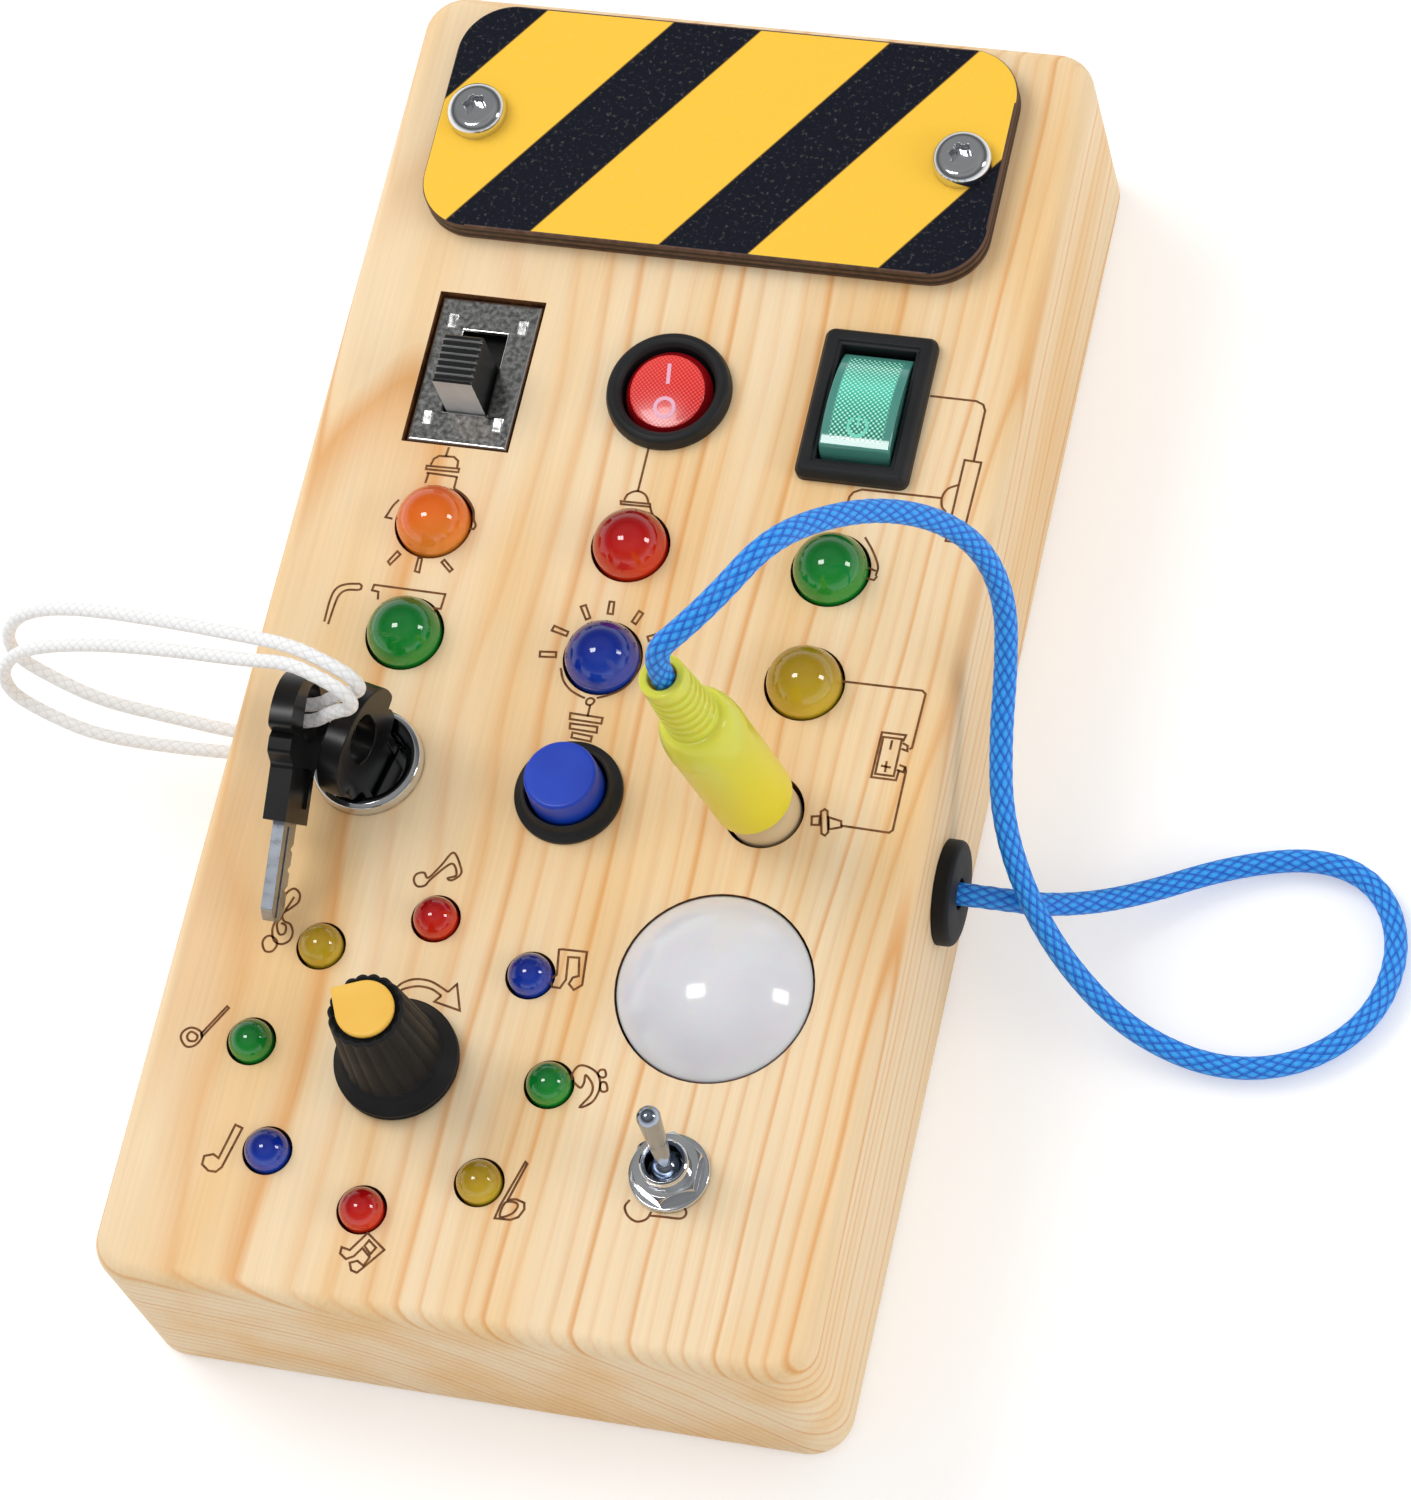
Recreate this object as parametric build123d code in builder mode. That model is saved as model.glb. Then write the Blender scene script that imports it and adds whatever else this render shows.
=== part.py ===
from build123d import *
import os
from math import cos, sin, tan, radians, pi

# Wooden busy board, lying on its back.  Millimetres.
# Origin: centre of the back face.  +X to the right of the front face, +Y towards the striped plate,
# +Z out of the front face.

# ---------------------------------------------------------------- driving dimensions
board_length = 185.0
board_width = 92.5
board_thickness = 31.0
corner_radius = 5.5
front_round = 2.4
back_round = 1.2
side_wall = 8.0
front_wall = 7.0
rebate_margin = 3.5
back_panel_thickness = 3.0
fit_gap = 0.25                       # clearance round a piece that drops into a cut-out

face = board_thickness               # height of the front face
inside = board_thickness - front_wall  # height of the cavity's ceiling

# where each piece sits on the face
lamp_column = 26.6
lamp_row_upper = 13.8
lamp_row_lower = -2.2
ring_centre = (-13.0, -59.8)         # small lamps round the selector knob
ring_radius = 19.5
slide_centre = (-26.5, 36.0)
round_rocker_centre = (0.2, 36.0)
green_rocker_centre = (26.6, 36.7)
plate_centre = (-0.9, 72.5)
button_centre = (0.0, -21.2)
lock_centre = (-26.8, -20.7)
plug_centre = (25.2, -20.0)
dome_centre = (24.2, -44.3)
toggle_centre = (24.1, -68.9)

# side exits of the two cords
grommet_y = -21.5
grommet_z = 15.4
key_cord_hole_y = -14.0
key_cord_hole_z = 15.5

# lamps
big_lamp_radius = 4.85
small_lamp_radius = 2.85
lamp_hole_gap = 0.35
lamp_rim = 0.9
lamp_rim_thickness = 1.0

# striped plate and its two screws
plate_width = 77.0
plate_height = 34.0
plate_thickness = 3.0
plate_radius = 7.4
plate_screw_spacing = 66.4
plate_screw_head_radius = 4.0
plate_screw_head_height = 2.3
plate_screw_shank_radius = 1.9
plate_screw_length = 8.5

# slide switch
slide_cutout_width = 14.6
slide_cutout_height = 22.2
slide_plate_width = 13.9
slide_plate_height = 21.5
slide_plate_drop = 0.4               # plate sits this far below the face
slide_plate_wall = 0.6
slide_flange_depth = 2.6
slide_slot_width = 6.0
slide_slot_length = 11.9
slide_knob_width = 5.4
slide_knob_length = 7.0
slide_knob_height = 8.0
slide_travel = 4.3
slide_case_depth = 7.0

# round rocker
round_flange_radius = 8.3
round_flange_height = 2.0
round_body_radius = 7.3
round_opening_radius = 6.2
round_rocker_radius = 5.5
rocker_tilt = 9.0
rocker_body_depth = 15.0

# rectangular rocker
green_flange_width = 15.0
green_flange_height = 21.6
green_flange_rise = 2.0
green_corner = 1.8
green_body_width = 13.0
green_body_height = 19.0
green_opening_width = 10.0
green_opening_height = 16.2
green_rocker_width = 9.4
green_rocker_reach = 7.8

# push button
button_flange_radius = 7.0
button_flange_height = 2.2
button_body_radius = 5.9
button_cap_radius = 5.0
button_cap_rise = 5.9
button_travel = 2.5
button_body_depth = 14.0

# key lock
lock_ring_radius = 7.3
lock_ring_height = 2.0
lock_body_radius = 5.9
lock_bore_radius = 5.0
lock_plug_radius = 4.93
lock_recess_depth = 3.0              # the plug's face lies this far below the front face
lock_body_depth = 21.5

# keys: bow, waist and collar are one moulding round the steel blade
key_bow_length = 10.0
key_bow_width = 15.0
key_collar_length = 9.0
key_collar_width = 8.6
key_blade_length = 12.5
key_blade_width = 4.6
key_blade_thickness = 1.6
key_collar_seat = 2.6                # how deep the collar sinks into the lock plug
key_thickness = 3.0
lock_key_turn = -12.0                # the key rests a little past upright in the lock
spare_key_tilt = 20.0
spare_key_x = -33.1
spare_key_top = (-15.1, 44.6)        # Y and Z of the middle of the spare key's bow end

# selector knob
knob_skirt_radius = 7.9
knob_bottom = 0.7                    # gap between the skirt and the face
knob_height = 17.0
knob_body_radius = 5.3
knob_top_radius = 4.7
knob_flutes = 16
knob_shaft_radius = 2.95
pointer_angle = 158.0

# plug and socket
plug_tilt = 8.5
plug_hole_radius = 5.15
plug_tip_radius = 4.6
plug_tip_depth = 2.0
plug_tip_rise = 3.9
plug_body_radius = 5.25
plug_shoulder = 22.5                 # heights along the plug, from the board's face
plug_neck_foot = 27.2
plug_end = 38.4
plug_neck_foot_radius = 3.5
plug_neck_end_radius = 2.95
plug_cord_depth = 3.0

# night-light dome
dome_radius = 12.3
dome_hole_gap = 0.3
dome_flange = 1.4
dome_rise = 6.2
dome_wall = 1.5

# toggle switch
toggle_turn = 15.0
toggle_bush_radius = 3.05
toggle_bush_rise = 4.6
toggle_bush_seat = 3.5
toggle_washer_radius = 5.1
toggle_nut_width = 8.0
toggle_lean = 12.5
toggle_lever_length = 12.6

# cords
cord_radius = 1.5
key_cord_radius = 0.9
grommet_flange_radius = 6.8
grommet_flange_thickness = 2.2
grommet_sleeve_radius = 4.4

os.makedirs("parts", exist_ok=True)


def save(part, label):
    """Label one finished piece and write its STEP file."""
    part.label = label
    export_step(part, f"parts/{label}.step")


def on_ring(index):
    """Centre of one small lamp, counted clockwise from the top of the ring."""
    angle = radians(90 - 45 * index)
    return (ring_centre[0] + ring_radius * cos(angle), ring_centre[1] + ring_radius * sin(angle))


big_lamps = {
    "lamp_orange": [(-lamp_column, lamp_row_upper)],
    "lamp_red": [(0, lamp_row_upper)],
    "lamps_green": [(lamp_column, lamp_row_upper), (-lamp_column, lamp_row_lower)],
    "lamp_blue": [(0, lamp_row_lower)],
    "lamp_yellow": [(lamp_column, lamp_row_lower)],
}
small_lamps = {
    "small_lamps_red": [on_ring(0), on_ring(4)],
    "small_lamps_blue": [on_ring(1), on_ring(5)],
    "small_lamps_green": [on_ring(2), on_ring(6)],
    "small_lamps_yellow": [on_ring(3), on_ring(7)],
}
big_lamp_places = [place for places in big_lamps.values() for place in places]
small_lamp_places = [place for places in small_lamps.values() for place in places]

# ---------------------------------------------------------------- back panel layout
panel_screw_x = board_width / 2 - 5.75
panel_screw_y = board_length / 2 - 12.5
panel_screw_places = [(x, y) for x in (-panel_screw_x, panel_screw_x) for y in (-panel_screw_y, 0, panel_screw_y)]
rebate_width = board_width - 2 * rebate_margin
rebate_length = board_length - 2 * rebate_margin
rebate_radius = 3.0
countersink_radius = 1.95
battery_centre = (0.0, 67.0)
battery_box_size = (51.0, 25.0)
battery_box_wall = 1.4
battery_box_top = 15.6
door_boss = 8.0                      # solid end of the box that takes the door's screw
door_screw_place = (battery_centre[0] - battery_box_size[0] / 2 - door_boss / 2, battery_centre[1])
opening_centre = (battery_centre[0] - door_boss / 2, battery_centre[1])
battery_opening = (battery_box_size[0] + door_boss + 3.0, battery_box_size[1] + 2.0)
battery_door_margin = 0.3
door_low = 0.3
door_thickness = 2.5
battery_flange = (battery_opening[0] + 5.0, battery_opening[1] + 5.0)
battery_flange_thickness = 1.2
cell_radius = 5.25
cell_length = 43.6
cell_nub = 0.9
cell_pitch = 11.2
cell_height = 8.6

# ---------------------------------------------------------------- wooden body
with BuildPart() as wooden_body:
    with BuildSketch():
        RectangleRounded(board_width, board_length, corner_radius)
    extrude(amount=board_thickness)
    fillet(wooden_body.faces().sort_by(Axis.Z)[-1].edges(), front_round)
    fillet(wooden_body.faces().sort_by(Axis.Z)[0].edges(), back_round)
    # rebate for the back panel, then the routed cavity
    with BuildSketch():
        RectangleRounded(rebate_width, rebate_length, rebate_radius)
    extrude(amount=back_panel_thickness, mode=Mode.SUBTRACT)
    with BuildSketch():
        RectangleRounded(board_width - 2 * side_wall, board_length - 2 * side_wall, rebate_radius)
    extrude(amount=inside, mode=Mode.SUBTRACT)
    # holes through the front wall
    with BuildSketch(Plane.XY.offset(inside)):
        with Locations(*big_lamp_places):
            Circle(big_lamp_radius + lamp_hole_gap)
        with Locations(*small_lamp_places):
            Circle(small_lamp_radius + lamp_hole_gap)
        with Locations(slide_centre):
            Rectangle(slide_cutout_width, slide_cutout_height)
        with Locations(round_rocker_centre):
            Circle(round_body_radius + fit_gap)
        with Locations(green_rocker_centre):
            Rectangle(green_body_width + 2 * fit_gap, green_body_height + 2 * fit_gap)
        with Locations(button_centre):
            Circle(button_body_radius + fit_gap)
        with Locations(lock_centre):
            Circle(lock_body_radius + fit_gap)
        with Locations(plug_centre):
            Circle(plug_hole_radius)
        with Locations(dome_centre):
            Circle(dome_radius + dome_hole_gap)
        with Locations(ring_centre):
            Circle(knob_shaft_radius + 1.0)
        with Locations(toggle_centre):
            Circle(toggle_bush_radius + 0.15)
    extrude(amount=front_wall, mode=Mode.SUBTRACT)
    # pilot holes: striped plate from the front, back panel from the ledge
    with BuildSketch(Plane.XY.offset(face)):
        with Locations(plate_centre):
            with GridLocations(plate_screw_spacing, 0, 2, 1):
                Circle(plate_screw_shank_radius)
    extrude(amount=-(plate_screw_length - plate_thickness), mode=Mode.SUBTRACT)
    with BuildSketch(Plane.XY.offset(back_panel_thickness)):
        with Locations(*panel_screw_places):
            Circle(1.05)
    extrude(amount=7.0, mode=Mode.SUBTRACT)
    # cord holes in the two side walls
    with BuildSketch(Plane.YZ.offset(board_width / 2 - side_wall)):
        with Locations((grommet_y, grommet_z)):
            Circle(grommet_sleeve_radius)
    extrude(amount=side_wall, mode=Mode.SUBTRACT)
    with BuildSketch(Plane.YZ.offset(-board_width / 2)):
        with Locations((key_cord_hole_y, key_cord_hole_z)):
            Circle(2.6)
    extrude(amount=side_wall, mode=Mode.SUBTRACT)
save(wooden_body.part, "wooden_body")

# ---------------------------------------------------------------- back panel and its screws
with BuildPart() as back_panel:
    with BuildSketch():
        RectangleRounded(rebate_width - 0.4, rebate_length - 0.4, rebate_radius)
        with Locations(opening_centre):
            Rectangle(*battery_opening, mode=Mode.SUBTRACT)
        with Locations(*panel_screw_places):
            Circle(1.1, mode=Mode.SUBTRACT)
    extrude(amount=back_panel_thickness)
    with Locations(*panel_screw_places):
        Cone(countersink_radius, 1.1, countersink_radius - 1.1, mode=Mode.SUBTRACT,
             align=(Align.CENTER, Align.CENTER, Align.MIN))
save(back_panel.part, "back_panel")

with BuildPart() as back_panel_screws:
    screw_top = 0.15
    shank = 1.0
    cone_height = countersink_radius - screw_top - shank
    from_below = (Align.CENTER, Align.CENTER, Align.MIN)
    with Locations(*[(x, y, screw_top) for x, y in panel_screw_places]):
        Cone(countersink_radius - screw_top, shank, cone_height, align=from_below)
    with Locations(*[(x, y, screw_top + cone_height) for x, y in panel_screw_places]):
        Cylinder(shank, 8.3, align=from_below)
    # cross recess
    with BuildSketch(Plane.XY.offset(screw_top)):
        with Locations(*panel_screw_places):
            Rectangle(2.2, 0.5)
            Rectangle(0.5, 2.2)
    extrude(amount=0.8, mode=Mode.SUBTRACT)
save(back_panel_screws.part, "back_panel_screws")

# ---------------------------------------------------------------- battery compartment
with BuildPart() as battery_box:
    with BuildSketch(Plane.XY.offset(back_panel_thickness)):
        with Locations(opening_centre):
            Rectangle(*battery_flange)
    extrude(amount=battery_flange_thickness)
    with BuildSketch(Plane.XY.offset(back_panel_thickness)):
        with Locations(battery_centre):
            Rectangle(*battery_box_size)
    extrude(amount=battery_box_top - back_panel_thickness)
    with BuildSketch(Plane.XY.offset(back_panel_thickness)):
        with Locations(door_screw_place):
            Rectangle(door_boss, 10.0)
    extrude(amount=7.0)
    with BuildSketch(Plane.XY.offset(back_panel_thickness)):
        with Locations(battery_centre):
            Rectangle(battery_box_size[0] - 2 * battery_box_wall, battery_box_size[1] - 2 * battery_box_wall)
    extrude(amount=battery_box_top - back_panel_thickness - battery_box_wall, mode=Mode.SUBTRACT)
    with BuildSketch(Plane.XY.offset(back_panel_thickness)):
        with Locations(door_screw_place):
            Circle(1.0)
    extrude(amount=5.5, mode=Mode.SUBTRACT)
    # rib between the two cells
    with BuildSketch(Plane.XY.offset(battery_box_top - battery_box_wall)):
        with Locations(battery_centre):
            Rectangle(30.0, 0.6)
    extrude(amount=-2.5)
save(battery_box.part, "battery_box")

with BuildPart() as battery_door:
    with BuildSketch(Plane.XY.offset(door_low)):
        with Locations(opening_centre):
            Rectangle(battery_opening[0] - 2 * battery_door_margin, battery_opening[1] - 2 * battery_door_margin)
        with Locations(door_screw_place):
            Circle(1.3, mode=Mode.SUBTRACT)
    extrude(amount=door_thickness)
    with BuildSketch(Plane.XY.offset(door_low)):
        with Locations((battery_centre[0] + 19.0, battery_centre[1])):
            with GridLocations(2.4, 0, 4, 1):
                SlotOverall(9.0, 0.9, rotation=90)
    extrude(amount=0.5, mode=Mode.SUBTRACT)
    with BuildSketch(Plane.XY.offset(door_low)):
        with Locations(door_screw_place):
            Circle(2.3)
    extrude(amount=1.3, mode=Mode.SUBTRACT)
save(battery_door.part, "battery_door")

with BuildPart() as battery_door_screw:
    with BuildSketch(Plane.XY.offset(door_low + 0.1)):
        with Locations(door_screw_place):
            Circle(2.1)
    extrude(amount=1.2)
    with BuildSketch(Plane.XY.offset(door_low + 1.3)):
        with Locations(door_screw_place):
            Circle(0.95)
    extrude(amount=6.5)
    with BuildSketch(Plane.XY.offset(door_low + 0.1)):
        with Locations(door_screw_place):
            Rectangle(2.4, 0.5)
            Rectangle(0.5, 2.4)
    extrude(amount=0.8, mode=Mode.SUBTRACT)
save(battery_door_screw.part, "battery_door_screw")

with BuildPart() as battery_cells:
    for side, way in ((1, 1), (-1, -1)):
        centre = (battery_centre[0], battery_centre[1] + side * cell_pitch / 2, cell_height)
        with BuildSketch(Plane(origin=centre, z_dir=(way, 0, 0))):
            Circle(cell_radius)
        extrude(amount=cell_length / 2, both=True)
        tip = (centre[0] + way * cell_length / 2, centre[1], centre[2])
        with BuildSketch(Plane(origin=tip, z_dir=(way, 0, 0))):
            Circle(1.9)
        extrude(amount=cell_nub)
save(battery_cells.part, "battery_cells")

with BuildPart() as battery_contacts:
    contact_thickness = 0.4
    contact_x = battery_box_size[0] / 2 - battery_box_wall - contact_thickness
    for end in (-1, 1):
        plate_middle = (end * contact_x, battery_centre[1], cell_height)
        with BuildSketch(Plane(origin=plate_middle, x_dir=(0, 1, 0), z_dir=(end, 0, 0))):
            Rectangle(21.0, 8.0)
        extrude(amount=contact_thickness)
        for side, way in ((1, 1), (-1, -1)):
            reach = contact_x - cell_length / 2 - (cell_nub if end == way else 0)
            place = (end * contact_x, battery_centre[1] + side * cell_pitch / 2, cell_height)
            with BuildSketch(Plane(origin=place, z_dir=(-end, 0, 0))):
                Circle(1.5)
            extrude(amount=reach)
save(battery_contacts.part, "battery_contacts")

# ---------------------------------------------------------------- striped plate
with BuildPart() as hazard_plate:
    with BuildSketch(Plane.XY.offset(face)):
        with Locations(plate_centre):
            RectangleRounded(plate_width, plate_height, plate_radius)
            with GridLocations(plate_screw_spacing, 0, 2, 1):
                Circle(plate_screw_shank_radius + 0.1, mode=Mode.SUBTRACT)
    extrude(amount=plate_thickness)
    top_rim = hazard_plate.faces().sort_by(Axis.Z)[-1].outer_wire().edges()
    chamfer(top_rim, 0.25)
save(hazard_plate.part, "hazard_plate")

with BuildPart() as plate_screws:
    head_base = face + plate_thickness
    head_places = [(plate_centre[0] + side * plate_screw_spacing / 2, plate_centre[1]) for side in (-1, 1)]
    with BuildSketch(Plane.XY.offset(head_base)):
        with Locations(*head_places):
            Circle(plate_screw_head_radius)
    extrude(amount=plate_screw_head_height)
    fillet(plate_screws.faces().group_by(Axis.Z)[-1].edges(), 1.5)
    with BuildSketch(Plane.XY.offset(head_base)):
        with Locations(*head_places):
            Circle(plate_screw_shank_radius - 0.05)
    extrude(amount=-(plate_screw_length - 0.1))
    # six-lobe drive
    with BuildSketch(Plane.XY.offset(head_base + plate_screw_head_height)):
        for place in head_places:
            with Locations(place):
                Circle(1.35)
                with PolarLocations(1.25, 6):
                    Circle(0.42)
    extrude(amount=-1.5, mode=Mode.SUBTRACT)
save(plate_screws.part, "plate_screws")

# ---------------------------------------------------------------- lamps


def lamp_group(places, radius):
    """Domed lamps: a rim behind the front wall, a straight body in the hole, a half-round nose."""
    with BuildPart() as lamps:
        for place in places:
            with BuildSketch(Plane.XZ.offset(-place[1])):
                with BuildLine():
                    x, low = place[0], inside - lamp_rim_thickness
                    Polyline((x, face + radius), (x, low), (x + radius + lamp_rim, low),
                             (x + radius + lamp_rim, inside), (x + radius, inside), (x + radius, face))
                    CenterArc((x, face), radius, 0, 90)
                make_face()
            revolve(axis=Axis((place[0], place[1], 0), (0, 0, 1)))
    return lamps.part


for label, places in big_lamps.items():
    save(lamp_group(places, big_lamp_radius), label)
for label, places in small_lamps.items():
    save(lamp_group(places, small_lamp_radius), label)

# ---------------------------------------------------------------- slide switch
slide_top = face - slide_plate_drop
slide_case_top = slide_top - slide_plate_wall
slide_foot_height = 1.8
slide_foot_gap = 0.2
with BuildPart() as slide_switch_plate:
    with BuildSketch(Plane.XY.offset(slide_top)):
        with Locations(slide_centre):
            RectangleRounded(slide_plate_width, slide_plate_height, 0.8)
    extrude(amount=-slide_flange_depth)
    fillet(slide_switch_plate.faces().sort_by(Axis.Z)[-1].edges(), 0.5)
    with BuildSketch(Plane.XY.offset(slide_case_top)):
        with Locations(slide_centre):
            Rectangle(slide_plate_width - 2 * slide_plate_wall, slide_plate_height - 2 * slide_plate_wall)
    extrude(amount=-slide_flange_depth, mode=Mode.SUBTRACT)
    with BuildSketch(Plane.XY.offset(slide_top)):
        with Locations(slide_centre):
            Rectangle(slide_slot_width, slide_slot_length)
    extrude(amount=-slide_plate_wall, mode=Mode.SUBTRACT)
    # four pressed tabs that grip the case
    with BuildSketch(Plane.XY.offset(slide_top)):
        with Locations(slide_centre):
            with GridLocations(9.6, 14.4, 2, 2):
                Rectangle(1.3, 2.0)
    extrude(amount=-0.35, mode=Mode.SUBTRACT)
save(slide_switch_plate.part, "slide_switch_plate")

slide_well_depth = 2.4
with BuildPart() as slide_switch_case:
    with BuildSketch(Plane.XY.offset(slide_case_top)):
        with Locations(slide_centre):
            Rectangle(slide_plate_width - 2 * slide_plate_wall - 0.2, slide_plate_height - 2 * slide_plate_wall - 0.2)
    extrude(amount=-slide_case_depth)
    with BuildSketch(Plane.XY.offset(slide_case_top)):
        with Locations(slide_centre):
            Rectangle(slide_slot_width + 2.4, slide_slot_length + 4.0)
    extrude(amount=-slide_well_depth, mode=Mode.SUBTRACT)
    with BuildSketch(Plane.XY.offset(slide_case_top - slide_case_depth)):
        with Locations(slide_centre):
            with GridLocations(5.0, 4.5, 2, 3):
                Rectangle(1.4, 0.6)
    extrude(amount=-3.5)
save(slide_switch_case.part, "slide_switch_case")

slide_knob_y = slide_centre[1] - slide_slot_length / 2 + slide_knob_length / 2 + 0.3
with BuildPart() as slide_switch_knob:
    slide_knob_place = (slide_centre[0], slide_knob_y)
    knob_base_z = slide_case_top - slide_foot_gap
    with BuildSketch(Plane.XY.offset(knob_base_z)):
        with Locations(slide_knob_place):
            Rectangle(slide_knob_width, slide_knob_length)
    extrude(amount=slide_top + slide_knob_height - knob_base_z)
    chamfer(slide_switch_knob.faces().sort_by(Axis.Z)[-1].edges(), 0.3)
    # grip ribs across the top
    groove_count = 6
    groove_pitch = slide_knob_length / (groove_count + 1)
    with BuildSketch(Plane.YZ.offset(slide_centre[0] - slide_knob_width / 2)):
        with Locations((slide_knob_y, slide_top + slide_knob_height)):
            with GridLocations(groove_pitch, 0, groove_count, 1):
                Rectangle(0.45, 0.9)
    extrude(amount=slide_knob_width, mode=Mode.SUBTRACT)
    # foot that runs in the case
    with BuildSketch(Plane.XY.offset(knob_base_z)):
        with Locations(slide_knob_place):
            Rectangle(slide_slot_width + 1.6, slide_knob_length + 2.0)
    extrude(amount=-slide_foot_height)
save(slide_switch_knob.part, "slide_switch_knob")

# ---------------------------------------------------------------- round rocker switch
pivot_drop = 1.2                     # rocker pivots lie this far below the face
rocker_pivot_z = face - pivot_drop
with BuildPart() as round_rocker_bezel:
    cx, cy = round_rocker_centre
    flange_top = face + round_flange_height
    with BuildSketch(Plane.XZ.offset(-cy)):
        with BuildLine():
            outer = cx + round_flange_radius
            throat = cx + round_opening_radius
            Line((outer, face), (outer, face + 0.7))
            ThreePointArc((outer, face + 0.7), (outer - 0.45, face + 1.6), (outer - 1.3, flange_top))
            Polyline((outer - 1.3, flange_top), (throat + 0.4, flange_top - 0.3), (throat, flange_top - 0.9),
                     (throat, face - 6.0), (cx, face - 6.0), (cx, face - rocker_body_depth),
                     (cx + round_body_radius, face - rocker_body_depth), (cx + round_body_radius, face),
                     (outer, face))
        make_face()
    revolve(axis=Axis((cx, cy, 0), (0, 0, 1)))
save(round_rocker_bezel.part, "round_rocker_bezel")


def rocker_body(centre, half_width_shape, reach, crown_radius, thickness_above, thickness_below, tilt):
    """A rocker: side profile between an arc-shaped crown and end arcs struck from the pivot,
    cut to its plan shape, then tipped about the pivot."""
    cx, cy = centre
    with BuildPart() as rocker:
        with BuildSketch(Plane.YZ.offset(cx - reach - 1)):
            with Locations((cy, rocker_pivot_z)):
                Circle(reach)
                with Locations((0, thickness_above - crown_radius)):
                    Circle(crown_radius, mode=Mode.INTERSECT)
                with Locations((0, -thickness_below)):
                    Rectangle(3 * reach, 4 * reach, align=(Align.CENTER, Align.MIN), mode=Mode.INTERSECT)
        extrude(amount=2 * reach + 2)
        with BuildSketch(Plane.XY.offset(rocker_pivot_z - 2 * reach)):
            with Locations(centre):
                half_width_shape()
        extrude(amount=4 * reach, mode=Mode.INTERSECT)
    return rocker.part.rotate(Axis((cx, cy, rocker_pivot_z), (1, 0, 0)), tilt)


round_rocker = rocker_body(round_rocker_centre, lambda: Circle(round_rocker_radius), round_rocker_radius + 0.2,
                           18.0, 2.9, 2.2, rocker_tilt)
save(round_rocker, "round_rocker")

# ---------------------------------------------------------------- rectangular rocker switch
with BuildPart() as green_rocker_bezel:
    with BuildSketch(Plane.XY.offset(face)) as green_outline:
        with Locations(green_rocker_centre):
            Rectangle(green_flange_width, green_flange_height)
        chamfer(green_outline.vertices(), green_corner)
    extrude(amount=green_flange_rise)
    chamfer(green_rocker_bezel.faces().sort_by(Axis.Z)[-1].edges(), 0.4)
    with BuildSketch(Plane.XY.offset(face)):
        with Locations(green_rocker_centre):
            Rectangle(green_body_width, green_body_height)
    extrude(amount=-rocker_body_depth)
    with BuildSketch(Plane.XY.offset(face + green_flange_rise)):
        with Locations(green_rocker_centre):
            Rectangle(green_opening_width, green_opening_height)
    extrude(amount=-(green_flange_rise + 7.0), mode=Mode.SUBTRACT)
save(green_rocker_bezel.part, "green_rocker_bezel")

green_rocker = rocker_body(green_rocker_centre, lambda: Rectangle(green_rocker_width, 4 * green_rocker_reach),
                           green_rocker_reach, 17.0, 4.4, 2.6, -rocker_tilt)
save(green_rocker, "green_rocker")

# ---------------------------------------------------------------- push button
button_floor = face - button_body_depth + 1.5
cap_low = face - 5.0
with BuildPart() as push_button_housing:
    cx, cy = button_centre
    bore = cx + button_cap_radius + 0.32
    with BuildSketch(Plane.XZ.offset(-cy)):
        with BuildLine():
            rim = cx + button_flange_radius
            lip = (bore + 0.35, face + button_flange_height)
            Line((rim, face), (rim, face + 0.6))
            ThreePointArc((rim, face + 0.6), (bore + 0.95, face + 1.15), lip)
            Polyline(lip, (bore, face + button_flange_height), (bore, button_floor), (cx, button_floor),
                     (cx, face - button_body_depth), (cx + button_body_radius, face - button_body_depth),
                     (cx + button_body_radius, face), (rim, face))
        make_face()
    revolve(axis=Axis((cx, cy, 0), (0, 0, 1)))
save(push_button_housing.part, "push_button_housing")

with BuildPart() as push_button_cap:
    with BuildSketch(Plane.XY.offset(cap_low)):
        with Locations(button_centre):
            Circle(button_cap_radius)
    extrude(amount=face + button_cap_rise - cap_low)
    fillet(push_button_cap.faces().sort_by(Axis.Z)[-1].edges(), 0.6)
save(push_button_cap.part, "push_button_cap")

spring_wire = 0.3
spring_radius = 2.6
with BuildPart() as push_button_spring:
    spring_low = button_floor + spring_wire
    spring_length = cap_low - button_floor - 2 * spring_wire
    with BuildLine(Plane.XY.offset(spring_low)) as spring_path:
        Helix(pitch=spring_length / 4, height=spring_length, radius=spring_radius)
    with BuildSketch(Plane(origin=spring_path.line @ 0, z_dir=spring_path.line % 0)):
        Circle(spring_wire)
    sweep(is_frenet=True)
save(push_button_spring.part.moved(Location((button_centre[0], button_centre[1], 0))), "push_button_spring")


def hex_nut(centre, across_flats, bore_radius, low, high):
    """A plain hexagon nut on a vertical thread."""
    with BuildPart() as nut:
        with BuildSketch(Plane.XY.offset(low)):
            with Locations(centre):
                RegularPolygon(across_flats / 2, 6, major_radius=False)
                Circle(bore_radius, mode=Mode.SUBTRACT)
        extrude(amount=high - low)
    return nut.part


inner_nut_height = 2.4
save(hex_nut(button_centre, 14.0, button_body_radius, inside - inner_nut_height, inside), "push_button_nut")

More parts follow.
